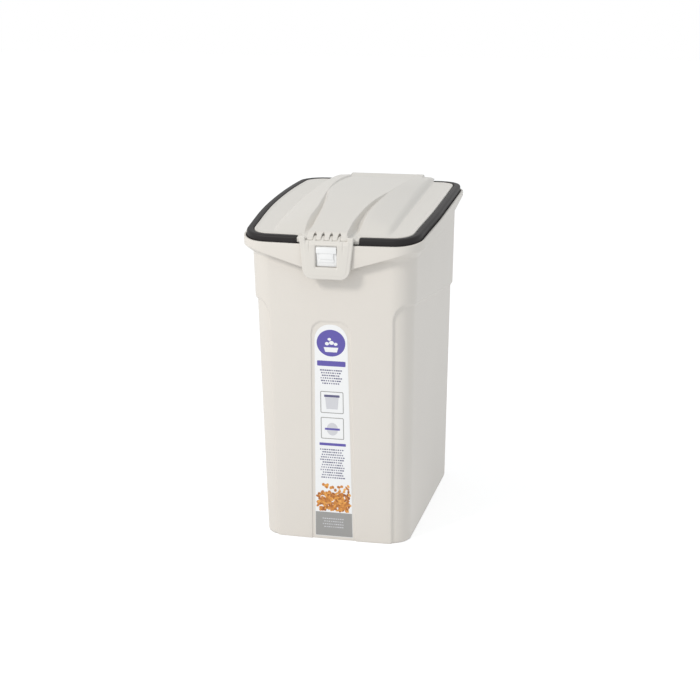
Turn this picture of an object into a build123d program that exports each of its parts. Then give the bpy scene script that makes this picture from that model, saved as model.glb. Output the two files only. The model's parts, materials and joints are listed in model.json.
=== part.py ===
from build123d import *
import os
from math import hypot, sqrt

os.makedirs("parts", exist_ok=True)

# Frame: origin on the floor under the middle of the tub, +Z up, the latch faces -Y.

# Tub: flat sizes at the floor, and how far each wall leans out for each millimetre of height
tub_half_width = 87.9
tub_front = -131.8
tub_rear = 134.3
tub_height = 371.6
tub_corner = 27.0
side_lean = 0.0186
front_lean = 0.0214
rear_lean = 0.0186
front_bow = 2.0
side_bow = 0.4
tub_wall = 2.3
tub_floor = 3.0

# Rim: the seal's outer edge in plan, and an arched height line that is lowest at the front
rim_over_sides = 12.9
rim_over_front = 13.6
rim_over_rear = 1.5
rim_corner = 29.5
rim_side_bow = 4.0
rim_end_bow = 3.05
rim_front_dip = 18.3
rim_middle_dip = 3.9

# Lip: the tub wall flares out and ends in an upright lip round the seal
lip_out = 3.4
lip_wall = 2.5
lip_drop = 8.5
lip_over = 14.0
flare_drop = 18.0
neck_height = 15.0

# Step: below a sloping shoulder line the sides, corners and back are set in
step_depth = 2.5
step_height = 5.0
shoulder_below_rim = 106.6
shoulder_slope = 0.1234

# Front panel: stays proud below the shoulder, with flared upper corners
panel_side_top = 16.9
panel_side_bottom = 20.4
panel_flare = 20.0

# Label channel and label, both wider at the foot
channel_depth = 1.5
channel_half_top = 22.3
channel_half_bottom = 25.9
channel_below_rim = 108.6
channel_round = 14.0
label_thick = 0.3
label_side_gap = 3.65
label_foot = 4.0
label_head_gap = 3.5
label_round = 18.0

# Apron: an upright skin under the front of the rim, cut to a shallow V
apron_below_rim = 35.3
apron_side = 2.8
apron_end_gap = 0.9
apron_top_gap = 1.0
apron_over_lip = 2.0

# Seal: a rubber strip on the lid's edge, open at the latch
seal_width = 8.0
seal_above = 7.0
seal_below = 6.0
seal_round = 2.6
seal_end_gap = 1.0
groove_clear = 0.1

# Lid plate and its edge
flange_in = 2.5
flange_low = 1.4
flange_high = 4.2
ring_in = 12.0
plate_in = 8.3
plate_low = 3.4
plate_high = 6.2
skirt_in = 9.8
skirt_wall = 2.2
skirt_drop = 9.0
skirt_lap = 1.0

# Raised middle of the lid: an arched top that falls away to both sides, with sloping flanks
crown_front_in = 7.4
crown_front_dip = 4.1
crown_middle_ahead = 40.2
crown_middle_rise = 10.9
crown_rear_in = 0.8
crown_rear_rise = 13.9
crown_wall = 2.4
crown_foot_drop = 21.6
crown_form_height = 50.0
crown_side_front = 27.3
crown_side_middle = 7.8
crown_side_rear = 9.1
crown_flat_half = 34.0
crown_fall = 0.21
crown_foot_out = 10.6
crown_front_run = 105.0
crown_back_out = 14.7
crown_back_draft = 3.0
crown_corner = 6.0
crown_open_lap = 1.0
hood_clear = 0.4
hood_over_lip = 0.8

# Latch hinge: five lid fingers and four latch knuckles on one pin
latch_axis_out = 2.9
latch_axis_rise = 5.0
knuckle_radius = 3.4
knuckle_clear = 0.4
latch_pin_radius = 1.25
finger_pitch = 9.2
finger_width = 5.4
knuckle_width = 3.4
finger_count = 5
finger_set_back = 0.5
finger_sink = 1.0
running_clear = 0.05
pin_clear = 0.02

# Tongue in front of the raised middle, and the block that fills the seal's gap
tongue_side = 2.1
tongue_length = 41.4
tongue_wall = 2.6
tongue_end_wall = 1.0
block_side = 12.3
block_out = 1.2
block_in = 11.4
block_drop = 0.1

# Grooves on both sides of the tongue, open at the front and fading to a point:
# each place is a distance out from the tongue's side and one in from the rim's front
groove_depth = 1.6
groove_inner = [(0.0, -4.6), (-1.2, 34.4), (-0.7, 61.4), (2.8, 87.4)]
groove_outer = [(8.3, -4.6), (6.3, 34.4), (5.3, 61.4), (7.8, 87.4)]
groove_tip = (15.3, 147.4)

# Latch plate: its front outline from the hinge's axis, and how far its back stands off the lip
latch_top_rise = 3.3
latch_comb_drop = 0.8
latch_drop = 43.3
latch_side = 7.8
latch_side_draft = 5.2
latch_corner = 10.0
latch_wall = 2.8
latch_clear_top = 0.45
latch_clear_low = 3.15
latch_bend_drop = 8.3
window_half = 12.2
window_low_drop = 30.1
window_high_drop = 5.3
window_corner = 2.0

# Catch: a clipped-in piece whose nose stands in the latch's window
catch_side_gap = 1.3
catch_low_gap = 0.8
catch_high_gap = 1.8
catch_base_out = 1.15
catch_ledge_rise = 4.5
catch_ledge_in = 2.3
catch_ledge_out = 1.95
catch_nose_rise = 8.2
catch_nose_in = 3.5
catch_nose_out = 2.75
catch_head_rise = 14.6
catch_head_out = 3.35
catch_ramp = 2.0
catch_seat_gap = 0.1
stem_half_width = 6.0
stem_foot = 1.0
stem_height = 5.0
stem_clear = 0.1
clip_lap = 1.0
clip_thick = 1.4

# Rear hinges: two, each with a pin through two tub lugs and one lid knuckle
hinge_axis_out = 12.2
hinge_axis_rise = 0.2
hinge_radius = 4.5
hinge_pin_radius = 2.0
hinge_x = 42.0
hinge_knuckle = 16.0
lug_thick = 5.0
lug_gap = 0.4
lug_top_drop = 1.0
lug_foot_drop = 21.6
pin_head_radius = 3.2
pin_head_thick = 1.5

# Far enough to pass every face, and a little past a face that is cut
reach = 220.0
spare = 1.0

# Places that follow from the sizes above
rim_half_width = tub_half_width + rim_over_sides
rim_front_y = tub_front - rim_over_front
rim_rear_y = tub_rear + rim_over_rear
rim_middle_y = (rim_front_y + rim_rear_y) / 2
rim_front_z = tub_height - rim_front_dip
rim_middle_z = tub_height - rim_middle_dip
rim_rear_z = tub_height
lip_front_y = rim_front_y - rim_end_bow - lip_out
shoulder_height = tub_height - shoulder_below_rim
panel_half_top = tub_half_width - panel_side_top
panel_half_bottom = tub_half_width - panel_side_bottom
channel_top = tub_height - channel_below_rim
label_half_top = channel_half_top - label_side_gap
label_half_bottom = channel_half_bottom - label_side_gap
label_top = channel_top - label_head_gap
apron_apex_z = rim_front_z - apron_below_rim
apron_half_width = rim_half_width - apron_side
crown_low_z = tub_height - crown_foot_drop
crown_high_z = crown_low_z + crown_form_height
crown_half_front = rim_half_width - crown_side_front
crown_half_middle = rim_half_width - crown_side_middle
crown_half_rear = rim_half_width - crown_side_rear
crown_foot_y = rim_front_y - crown_foot_out
crown_back_y = rim_rear_y + crown_back_out
latch_axis_y = rim_front_y - latch_axis_out
latch_axis_z = rim_front_z + latch_axis_rise
comb_half = (finger_count - 1) / 2 * finger_pitch + finger_width / 2
tongue_half = comb_half + tongue_side
tongue_back_y = rim_front_y + tongue_length
block_half = tongue_half + block_side
block_front_y = rim_front_y - block_out
block_back_y = rim_front_y + block_in
block_low_z = rim_front_z - block_drop
seal_end_x = block_half + seal_end_gap
latch_top_z = latch_axis_z + latch_top_rise
latch_comb_z = latch_axis_z - latch_comb_drop
latch_low_z = latch_axis_z - latch_drop
latch_bend_z = latch_axis_z - latch_bend_drop
latch_half_top = tongue_half + latch_side
latch_half_low = latch_half_top - latch_side_draft
latch_back_top_y = lip_front_y - latch_clear_top
latch_back_low_y = lip_front_y - latch_clear_low
window_low_z = latch_axis_z - window_low_drop
window_high_z = latch_axis_z - window_high_drop
catch_half = window_half - catch_side_gap
catch_low_z = window_low_z + catch_low_gap
catch_high_z = window_high_z - catch_high_gap
catch_ledge_z = catch_low_z + catch_ledge_rise
catch_nose_z = catch_low_z + catch_nose_rise
catch_head_z = catch_low_z + catch_head_rise
catch_head_y = lip_front_y - catch_head_out
stem_low_z = catch_low_z + stem_foot
stem_high_z = stem_low_z + stem_height
hinge_axis_y = rim_rear_y + hinge_axis_out
hinge_axis_z = rim_rear_z + hinge_axis_rise
lug_foot_z = rim_rear_z - lug_foot_drop


def circle_through(first, second, third):
    """Centre and radius of the circle through three points (y, z)."""
    (ay, az), (by, bz), (cy, cz) = first, second, third
    twice = 2 * (ay * (bz - cz) + by * (cz - az) + cy * (az - bz))
    a2 = ay * ay + az * az
    b2 = by * by + bz * bz
    c2 = cy * cy + cz * cz
    y = (a2 * (bz - cz) + b2 * (cz - az) + c2 * (az - bz)) / twice
    z = (a2 * (cy - by) + b2 * (ay - cy) + c2 * (by - ay)) / twice
    return y, z, hypot(ay - y, az - z)


rim_circle = circle_through(
    (rim_front_y, rim_front_z), (rim_middle_y, rim_middle_z), (rim_rear_y, rim_rear_z)
)
crown_circle = circle_through(
    (rim_front_y + crown_front_in, tub_height - crown_front_dip),
    (rim_middle_y - crown_middle_ahead, tub_height + crown_middle_rise),
    (rim_rear_y - crown_rear_in, tub_height + crown_rear_rise),
)


def height_on(circle, y):
    """Height of an upward arch at the place y along the bin."""
    centre_y, centre_z, radius = circle
    return centre_z + sqrt(radius**2 - (y - centre_y) ** 2)


def arch_section(x, circle, lift):
    """The face under an arch, on the upright plane at the place x."""
    ends = [(y, height_on(circle, y) + lift) for y in (-reach, 0.0, reach)]
    with BuildSketch(Plane.YZ.offset(x)) as section:
        with BuildLine():
            ThreePointArc(*ends)
            Polyline(ends[2], (reach, -reach), (-reach, -reach), ends[0])
        make_face()
    return section.sketch


def below_arch(circle, lift):
    """Everything under an arch that runs the length of the bin, raised by lift."""
    with BuildPart() as region:
        extrude(arch_section(0, circle, lift), amount=reach, both=True)
    return region.part


def below_roof(circle, lift):
    """Everything under an arch that stays level in the middle and falls away to both sides."""
    with BuildPart() as region:
        extrude(arch_section(0, circle, lift), amount=crown_flat_half, both=True)
        for side in (-1, 1):
            section = arch_section(side * crown_flat_half, circle, lift)
            extrude(section, amount=reach, dir=(side, 0, -crown_fall))
    return region.part


def bowed_outline(plane, half_width, front, rear, bows, corner):
    """A rectangle with four slightly bowed sides and round corners."""
    side, end = bows
    with BuildSketch(plane) as outline:
        with BuildLine():
            ThreePointArc((-half_width, front), (0, front - end), (half_width, front))
            middle = (front + rear) / 2
            ThreePointArc((half_width, front), (half_width + side, middle), (half_width, rear))
            ThreePointArc((half_width, rear), (0, rear + end), (-half_width, rear))
            ThreePointArc((-half_width, rear), (-half_width - side, middle), (-half_width, front))
        make_face()
        fillet(outline.vertices(), corner)
    return outline.sketch


def tub_outline(height, inset):
    """The tub's level outline at a height, moved in by inset."""
    return bowed_outline(
        Plane.XY.offset(height),
        tub_half_width + side_lean * height - inset,
        tub_front - front_lean * height + inset,
        tub_rear + rear_lean * height - inset,
        (side_bow, front_bow),
        tub_corner - inset,
    )


# The rim's chord is a tilted plane that the lip and the flare are built on
rim_tilt = Plane(
    origin=(0, rim_front_y, rim_front_z),
    x_dir=(1, 0, 0),
    z_dir=(0, rim_front_z - rim_rear_z, rim_rear_y - rim_front_y),
)
rim_chord = hypot(rim_rear_y - rim_front_y, rim_rear_z - rim_front_z)


def rim_outline(plane, grow):
    """The plan of the seal's outer edge on a level plane, grown by grow."""
    return bowed_outline(
        plane,
        rim_half_width + grow,
        rim_front_y - grow,
        rim_rear_y + grow,
        (rim_side_bow, rim_end_bow),
        rim_corner + grow,
    )


def lip_outline(drop, grow):
    """The lip's outline on the tilted plane, drop below the rim's chord."""
    return bowed_outline(
        rim_tilt.offset(-drop),
        rim_half_width + grow,
        -grow,
        rim_chord + grow,
        (rim_side_bow, rim_end_bow),
        rim_corner + grow,
    )


def neck_outline(drop, inset):
    """The tub wall's outline on the tilted plane, drop below the rim's chord."""
    front_z = rim_front_z - drop
    rear_z = rim_rear_z - drop
    middle_z = (front_z + rear_z) / 2
    return bowed_outline(
        rim_tilt.offset(-drop),
        tub_half_width + side_lean * middle_z - inset,
        tub_front - front_lean * front_z - rim_front_y + inset,
        tub_rear + rear_lean * rear_z - rim_front_y - inset,
        (side_bow, front_bow),
        tub_corner - inset,
    )


def tub_form(inset, floor_z):
    """The tub's outer form, or its hollow when inset by the wall."""
    top_z = rim_front_z - flare_drop + step_height
    with BuildPart() as keep:
        with BuildSketch(Plane.YZ):
            low = shoulder_height + step_height + inset
            Polygon(
                (-reach, low + shoulder_slope * reach),
                (reach, low - shoulder_slope * reach),
                (reach, 2 * reach),
                (-reach, 2 * reach),
                align=None,
            )
        extrude(amount=reach, both=True)
        with BuildSketch(Plane.XZ.offset(-tub_front / 2)) as panel:
            brow = shoulder_height - shoulder_slope * tub_front + step_height + inset
            foot = panel_half_bottom - inset
            head = panel_half_top - inset
            Polygon((-foot, 0), (foot, 0), (head, brow), (-head, brow), align=None)
            with Locations((0, brow)):
                Rectangle(2 * reach, panel_flare, align=(Align.CENTER, Align.MIN))
            inner = panel.vertices().filter_by_position(Axis.X, -head - spare, head + spare)
            fillet(inner.filter_by_position(Axis.Y, brow - spare, brow + spare), panel_flare)
        extrude(amount=reach)
    with BuildPart() as form:
        loft([tub_outline(0, inset), tub_outline(top_z, inset)], ruled=True)
        add(keep.part, mode=Mode.INTERSECT)
        loft([tub_outline(0, inset + step_depth), tub_outline(top_z, inset + step_depth)], ruled=True)
        with BuildSketch(Plane.XY.offset(floor_z)):
            Rectangle(2 * reach, 2 * reach)
        extrude(amount=top_z - floor_z, mode=Mode.INTERSECT)
        loft([neck_outline(flare_drop + neck_height, inset), neck_outline(flare_drop, inset)], ruled=True)
        loft([neck_outline(flare_drop, inset), lip_outline(lip_drop, lip_out - inset)], ruled=True)
        extrude(lip_outline(lip_drop, lip_out - inset), amount=lip_drop + lip_over)
    return form.part


def front_plane(depth):
    """A plane along the middle of the leaning front wall, depth behind its face."""
    return Plane(
        origin=(0, tub_front - front_bow + depth, 0),
        x_dir=(1, 0, 0),
        z_dir=(0, -1, -front_lean),
    )


def upright_strip(plane, foot, head, half_foot, half_head, round_radius):
    """A strip on the front wall with a square foot and a rounded head."""
    with BuildSketch(plane) as strip:
        Polygon((-half_foot, foot), (half_foot, foot), (half_head, head), (-half_head, head), align=None)
        fillet(strip.vertices().sort_by(Axis.Y)[-2:], round_radius)
    return strip.sketch


# Tub
with BuildPart() as apron:
    apron_level = Plane.XY.offset(apron_apex_z - spare)
    extrude(rim_outline(apron_level, lip_out), amount=rim_rear_z - apron_apex_z)
    apron_back = rim_outline(apron_level, lip_out - lip_wall)
    extrude(apron_back, amount=rim_rear_z - apron_apex_z, mode=Mode.SUBTRACT)
    with BuildSketch(Plane.XZ):
        lip_low_z = rim_front_z - lip_drop + apron_over_lip
        corner_z = lip_low_z - apron_end_gap
        Polygon(
            (0, apron_apex_z),
            (apron_half_width, corner_z),
            (apron_half_width, lip_low_z),
            (-apron_half_width, lip_low_z),
            (-apron_half_width, corner_z),
            align=None,
        )
    extrude(amount=reach, mode=Mode.INTERSECT)
    add(below_arch(rim_circle, -apron_top_gap), mode=Mode.INTERSECT)

lug_offset = hinge_knuckle / 2 + lug_gap + lug_thick / 2
lug_places = [side * hinge_x + turn * lug_offset for side in (-1, 1) for turn in (-1, 1)]
with BuildPart() as lugs:
    for lug_x in lug_places:
        with BuildSketch(Plane.YZ.offset(lug_x)):
            with Locations((hinge_axis_y, hinge_axis_z)):
                Circle(hinge_radius)
            lip_back_y = rim_rear_y + rim_end_bow + lip_out - lip_wall / 2
            lug_top_z = rim_rear_z - lug_top_drop
            Polygon(
                (lip_back_y, lug_foot_z),
                (lip_back_y, lug_top_z),
                (hinge_axis_y, lug_top_z),
                (hinge_axis_y + hinge_radius, hinge_axis_z),
                align=None,
            )
        extrude(amount=lug_thick / 2, both=True)

with BuildPart() as tub:
    add(tub_form(0, 0))
    add(below_arch(rim_circle, 0), mode=Mode.INTERSECT)
    add(apron.part)
    add(lugs.part)
    add(tub_form(tub_wall, tub_floor), mode=Mode.SUBTRACT)
    extrude(
        upright_strip(
            front_plane(channel_depth),
            -spare,
            channel_top,
            channel_half_bottom,
            channel_half_top,
            channel_round,
        ),
        amount=channel_depth + spare,
        mode=Mode.SUBTRACT,
    )
    with BuildSketch(Plane.XZ.offset(-(lip_front_y + lip_wall + stem_clear))):
        with Locations((0, (stem_low_z + stem_high_z) / 2)):
            Rectangle(2 * (stem_half_width + stem_clear), stem_high_z - stem_low_z + 2 * stem_clear)
    extrude(amount=reach, mode=Mode.SUBTRACT)
    with BuildSketch(Plane.YZ):
        with Locations((hinge_axis_y, hinge_axis_z)):
            Circle(hinge_pin_radius + pin_clear)
    extrude(amount=reach, both=True, mode=Mode.SUBTRACT)
tub.part.label = "tub"
export_step(tub.part, "parts/tub.step")


# Seal
def on_seal_top(edge):
    """True for the two long edges along the top of the seal."""
    middle = edge.center()
    return middle.Z > height_on(rim_circle, middle.Y) + seal_above / 2


with BuildPart() as seal_groove:
    extrude(rim_outline(Plane.XY, -flange_in + groove_clear), amount=2 * reach)
    add(below_arch(rim_circle, flange_high + groove_clear), mode=Mode.INTERSECT)
    add(below_arch(rim_circle, flange_low - groove_clear), mode=Mode.SUBTRACT)

with BuildPart() as lid_seal:
    extrude(rim_outline(Plane.XY, 0), amount=2 * reach)
    add(below_arch(rim_circle, seal_above), mode=Mode.INTERSECT)
    add(below_arch(rim_circle, -seal_below), mode=Mode.SUBTRACT)
    extrude(rim_outline(Plane.XY, -seal_width), amount=2 * reach, mode=Mode.SUBTRACT)
    fillet(lid_seal.edges().filter_by(on_seal_top), seal_round)
    add(seal_groove.part, mode=Mode.SUBTRACT)
    with BuildSketch(Plane.XZ):
        with Locations((0, rim_front_z)):
            Rectangle(2 * seal_end_x, 2 * crown_form_height)
    extrude(amount=reach, mode=Mode.SUBTRACT)
lid_seal.part.label = "lid_seal"
export_step(lid_seal.part, "parts/lid_seal.step")


# Lid
def crown_quad(height, shrink):
    """The raised middle's plan at a level, with all flanks moved in by shrink."""
    rise = height - crown_low_z
    share = rise / crown_form_height
    front_run = crown_front_run / crown_form_height
    front_y = crown_foot_y + front_run * rise + shrink * hypot(1, front_run)
    back_y = crown_back_y - share * crown_back_draft - shrink
    front_half = crown_half_front - rise - shrink * sqrt(2)
    middle_half = crown_half_middle - rise - shrink * sqrt(2)
    back_half = crown_half_rear - rise - shrink * sqrt(2)
    with BuildSketch(Plane.XY.offset(height)) as quad:
        with BuildLine():
            Line((-front_half, front_y), (front_half, front_y))
            ThreePointArc((front_half, front_y), (middle_half, rim_middle_y), (back_half, back_y))
            Line((back_half, back_y), (-back_half, back_y))
            ThreePointArc((-back_half, back_y), (-middle_half, rim_middle_y), (-front_half, front_y))
        make_face()
        fillet(quad.vertices(), crown_corner)
    return quad.sketch


def crown_form(shrink, lift):
    """The raised middle as a solid, or its hollow when shrunk and lowered."""
    with BuildPart() as form:
        loft([crown_quad(crown_low_z, shrink), crown_quad(crown_high_z, shrink)], ruled=True)
        add(below_roof(crown_circle, lift), mode=Mode.INTERSECT)
    return form.part


def groove_strip(mirrored):
    """Plan of one groove beside the tongue, from its open front to its tip."""
    sign = -1 if mirrored else 1
    with BuildSketch(Plane.XY.offset(crown_low_z)) as strip:
        with BuildLine():
            inner = [(sign * (tongue_half + x), rim_front_y + y) for x, y in groove_inner + [groove_tip]]
            outer = [(sign * (tongue_half + x), rim_front_y + y) for x, y in groove_outer + [groove_tip]]
            Spline(*inner)
            Spline(*outer)
            Line(inner[0], outer[0])
        make_face()
    return strip.sketch


with BuildPart() as grooves:
    for mirrored in (False, True):
        extrude(groove_strip(mirrored), amount=crown_form_height)
    add(below_arch(crown_circle, -groove_depth), mode=Mode.SUBTRACT)

with BuildPart() as plate:
    extrude(rim_outline(Plane.XY, -plate_in), amount=2 * reach)
    add(below_arch(rim_circle, plate_high), mode=Mode.INTERSECT)
    add(below_arch(rim_circle, plate_low), mode=Mode.SUBTRACT)

with BuildPart() as edge_ring:
    extrude(rim_outline(Plane.XY, -flange_in), amount=2 * reach)
    add(below_arch(rim_circle, flange_high), mode=Mode.INTERSECT)
    add(below_arch(rim_circle, flange_low), mode=Mode.SUBTRACT)
    extrude(rim_outline(Plane.XY, -ring_in), amount=2 * reach, mode=Mode.SUBTRACT)

with BuildPart() as lid_skirt:
    extrude(rim_outline(Plane.XY, -skirt_in), amount=2 * reach)
    add(below_arch(rim_circle, plate_low + skirt_lap), mode=Mode.INTERSECT)
    add(below_arch(rim_circle, -skirt_drop), mode=Mode.SUBTRACT)
    extrude(rim_outline(Plane.XY, -skirt_in - skirt_wall), amount=2 * reach, mode=Mode.SUBTRACT)

with BuildPart() as tongue:
    with BuildSketch(Plane.YZ):
        Polygon(
            (tongue_back_y, crown_low_z),
            (tongue_back_y, crown_high_z),
            (latch_axis_y, crown_high_z),
            (latch_axis_y, block_low_z),
            (block_back_y, crown_low_z),
            align=None,
        )
    extrude(amount=tongue_half, both=True)
    add(below_arch(crown_circle, 0), mode=Mode.INTERSECT)
    add(below_arch(rim_circle, plate_low), mode=Mode.SUBTRACT)

with BuildPart() as tongue_hollow:
    with BuildSketch(Plane.YZ):
        Polygon(
            (tongue_back_y + tongue_end_wall, crown_low_z),
            (tongue_back_y + tongue_end_wall, crown_high_z),
            (block_back_y, crown_high_z),
            (block_back_y, crown_low_z),
            align=None,
        )
    extrude(amount=tongue_half - tongue_wall, both=True)
    add(below_arch(crown_circle, -tongue_wall), mode=Mode.INTERSECT)

with BuildPart() as block:
    with BuildSketch(Plane.YZ):
        Polygon(
            (block_front_y, block_low_z),
            (block_front_y, rim_rear_z),
            (block_back_y, rim_rear_z),
            (block_back_y, block_low_z),
            align=None,
        )
    extrude(amount=block_half, both=True)
    add(below_arch(rim_circle, plate_high), mode=Mode.INTERSECT)

with BuildPart() as fingers:
    for number in range(finger_count):
        finger_x = (number - (finger_count - 1) / 2) * finger_pitch
        with BuildSketch(Plane.YZ.offset(finger_x)):
            with Locations((latch_axis_y, latch_axis_z)):
                Circle(knuckle_radius)
            Polygon(
                (latch_axis_y, latch_axis_z - knuckle_radius),
                (latch_axis_y - knuckle_radius, latch_axis_z),
                (latch_axis_y + finger_set_back, height_on(crown_circle, latch_axis_y) - finger_sink),
                (block_back_y, latch_axis_z),
                (block_back_y, latch_axis_z - knuckle_radius),
                align=None,
            )
        extrude(amount=finger_width / 2, both=True)

with BuildPart() as finger_gaps:
    for number in range(finger_count - 1):
        gap_x = (number - (finger_count - 2) / 2) * finger_pitch
        with BuildSketch(Plane.YZ.offset(gap_x)):
            Polygon(
                (latch_axis_y + knuckle_radius + knuckle_clear, block_low_z - spare),
                (latch_axis_y + knuckle_radius + knuckle_clear, crown_high_z),
                (latch_axis_y - 3 * knuckle_radius, crown_high_z),
                (latch_axis_y - 3 * knuckle_radius, block_low_z - spare),
                align=None,
            )
        extrude(amount=(finger_pitch - finger_width) / 2, both=True)

hood_low_z = height_on(rim_circle, rim_rear_y) + seal_above + hood_clear
with BuildPart() as lid_knuckles:
    for side in (-1, 1):
        with BuildSketch(Plane.YZ.offset(side * hinge_x)):
            with Locations((hinge_axis_y, hinge_axis_z)):
                Circle(hinge_radius)
            Polygon(
                (hinge_axis_y - hinge_radius, hinge_axis_z),
                (hinge_axis_y - hinge_radius, hood_low_z + crown_wall),
                (crown_back_y - crown_back_draft, hood_low_z + crown_wall),
                (hinge_axis_y + hinge_radius, hinge_axis_z),
                align=None,
            )
        extrude(amount=hinge_knuckle / 2, both=True)

with BuildPart() as crown_shell:
    add(crown_form(0, 0))
    add(crown_form(crown_wall, -crown_wall), mode=Mode.SUBTRACT)
    add(below_arch(rim_circle, plate_low), mode=Mode.SUBTRACT)

with BuildPart() as seal_path:
    extrude(rim_outline(Plane.XY, lip_out + hood_over_lip), amount=hood_low_z)
    extrude(rim_outline(Plane.XY, -plate_in), amount=hood_low_z, mode=Mode.SUBTRACT)

with BuildPart() as behind_lip:
    with BuildSketch(Plane.XY):
        Polygon((-reach, rim_rear_y), (reach, rim_rear_y), (reach, reach), (-reach, reach), align=None)
    extrude(amount=hood_low_z)

with BuildPart() as lid:
    add(crown_shell.part)
    add(seal_path.part, mode=Mode.SUBTRACT)
    add(behind_lip.part, mode=Mode.SUBTRACT)
    add(plate.part)
    crown_open = crown_form(crown_wall, -crown_wall) & below_arch(rim_circle, plate_high + crown_open_lap)
    add(crown_open, mode=Mode.SUBTRACT)
    add(grooves.part, mode=Mode.SUBTRACT)
    add(tongue.part)
    add(tongue_hollow.part, mode=Mode.SUBTRACT)
    add(block.part)
    add(edge_ring.part)
    add(lid_skirt.part)
    add(finger_gaps.part, mode=Mode.SUBTRACT)
    add(fingers.part)
    add(lid_knuckles.part)
    with BuildSketch(Plane.YZ):
        with Locations((latch_axis_y, latch_axis_z)):
            Circle(latch_pin_radius + pin_clear)
        with Locations((hinge_axis_y, hinge_axis_z)):
            Circle(hinge_pin_radius + running_clear)
    extrude(amount=reach, both=True, mode=Mode.SUBTRACT)
lid.part.label = "lid"
export_step(lid.part, "parts/lid.step")


# Latch
with BuildPart() as latch_knuckles:
    for number in range(finger_count - 1):
        knuckle_x = (number - (finger_count - 2) / 2) * finger_pitch
        with BuildSketch(Plane.YZ.offset(knuckle_x)):
            with Locations((latch_axis_y, latch_axis_z)):
                Circle(knuckle_radius)
            Polygon(
                (latch_axis_y, latch_axis_z),
                (latch_axis_y, latch_axis_z - knuckle_radius),
                (latch_back_top_y - latch_wall / 2, latch_axis_z - knuckle_radius),
                (latch_back_top_y - latch_wall / 2, latch_axis_z),
                align=None,
            )
        extrude(amount=knuckle_width / 2, both=True)

with BuildPart() as latch:
    with BuildSketch(Plane.YZ):
        Polygon(
            (latch_back_top_y, latch_top_z),
            (latch_back_top_y, latch_bend_z),
            (latch_back_low_y, latch_low_z),
            (latch_back_low_y - latch_wall, latch_low_z),
            (latch_back_top_y - latch_wall, latch_bend_z),
            (latch_back_top_y - latch_wall, latch_top_z),
            align=None,
        )
    extrude(amount=latch_half_top, both=True)
    with BuildSketch(Plane.XZ) as latch_face:
        Polygon(
            (-latch_half_low, latch_low_z),
            (latch_half_low, latch_low_z),
            (latch_half_top, latch_top_z),
            (-latch_half_top, latch_top_z),
            align=None,
        )
        fillet(latch_face.vertices().sort_by(Axis.Y)[:2], latch_corner)
    extrude(amount=reach, mode=Mode.INTERSECT)
    with BuildSketch(Plane.XZ) as window:
        with Locations((0, (window_low_z + window_high_z) / 2)):
            RectangleRounded(2 * window_half, window_high_z - window_low_z, window_corner)
        with Locations((0, latch_comb_z)):
            Rectangle(2 * (tongue_half + knuckle_clear), 2 * latch_wall, align=(Align.CENTER, Align.MIN))
    extrude(amount=reach, mode=Mode.SUBTRACT)
    add(latch_knuckles.part)
    with BuildSketch(Plane.YZ):
        with Locations((latch_axis_y, latch_axis_z)):
            Circle(latch_pin_radius + running_clear)
    extrude(amount=tongue_half, both=True, mode=Mode.SUBTRACT)
latch.part.label = "latch"
export_step(latch.part, "parts/latch.step")

# Latch pin
with BuildPart() as latch_pin:
    with BuildSketch(Plane.YZ):
        with Locations((latch_axis_y, latch_axis_z)):
            Circle(latch_pin_radius)
    extrude(amount=comb_half, both=True)
    chamfer(latch_pin.edges().filter_by(GeomType.CIRCLE), latch_pin_radius / 4)
latch_pin.part.label = "latch_pin"
export_step(latch_pin.part, "parts/latch_pin.step")

# Catch
catch_back_y = lip_front_y - catch_seat_gap
slot_back_y = lip_front_y + lip_wall + catch_seat_gap
catch_steps = [
    (catch_half, catch_low_z, catch_high_z, lip_front_y - catch_base_out),
    (catch_half - catch_ledge_in, catch_ledge_z, catch_nose_z, lip_front_y - catch_ledge_out),
    (catch_half - catch_nose_in, catch_nose_z, catch_head_z, lip_front_y - catch_nose_out),
]
with BuildPart() as catch:
    for half, low_z, high_z, face_y in catch_steps:
        with BuildSketch(Plane.XZ.offset(-catch_back_y)):
            with Locations((0, (low_z + high_z) / 2)):
                Rectangle(2 * half, high_z - low_z)
        extrude(amount=catch_back_y - face_y)
    with BuildSketch(Plane.YZ):
        Polygon(
            (catch_back_y, catch_head_z),
            (catch_head_y, catch_head_z),
            (catch_head_y, catch_high_z - catch_ramp),
            (catch_head_y + catch_ramp, catch_high_z),
            (catch_back_y, catch_high_z),
            align=None,
        )
    extrude(amount=catch_half, both=True)
    with BuildSketch(Plane.XZ.offset(-slot_back_y)):
        with Locations((0, (stem_low_z + stem_high_z) / 2)):
            Rectangle(2 * stem_half_width, stem_high_z - stem_low_z)
    extrude(amount=slot_back_y - catch_back_y)
    with BuildSketch(Plane.XZ.offset(-slot_back_y - clip_thick)):
        with Locations((0, (stem_low_z + stem_high_z) / 2)):
            Rectangle(2 * (stem_half_width + clip_lap), stem_high_z - stem_low_z + 2 * clip_lap)
    extrude(amount=clip_thick)
catch.part.label = "catch"
export_step(catch.part, "parts/catch.step")

# Label
with BuildPart() as label:
    extrude(
        upright_strip(
            front_plane(channel_depth),
            label_foot,
            label_top,
            label_half_bottom,
            label_half_top,
            label_round,
        ),
        amount=label_thick,
    )
label.part.label = "label"
export_step(label.part, "parts/label.step")

# Rear hinge pins
pin_reach = lug_offset + lug_thick / 2
for side, side_name in ((-1, "left"), (1, "right")):
    with BuildPart() as hinge_pin:
        with BuildSketch(Plane.YZ.offset(side * hinge_x)):
            with Locations((hinge_axis_y, hinge_axis_z)):
                Circle(hinge_pin_radius)
        extrude(amount=pin_reach, both=True)
        with BuildSketch(Plane.YZ.offset(side * (hinge_x + pin_reach))):
            with Locations((hinge_axis_y, hinge_axis_z)):
                Circle(pin_head_radius)
        extrude(amount=side * pin_head_thick)
    hinge_pin.part.label = "hinge_pin_" + side_name
    export_step(hinge_pin.part, "parts/hinge_pin_" + side_name + ".step")
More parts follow.
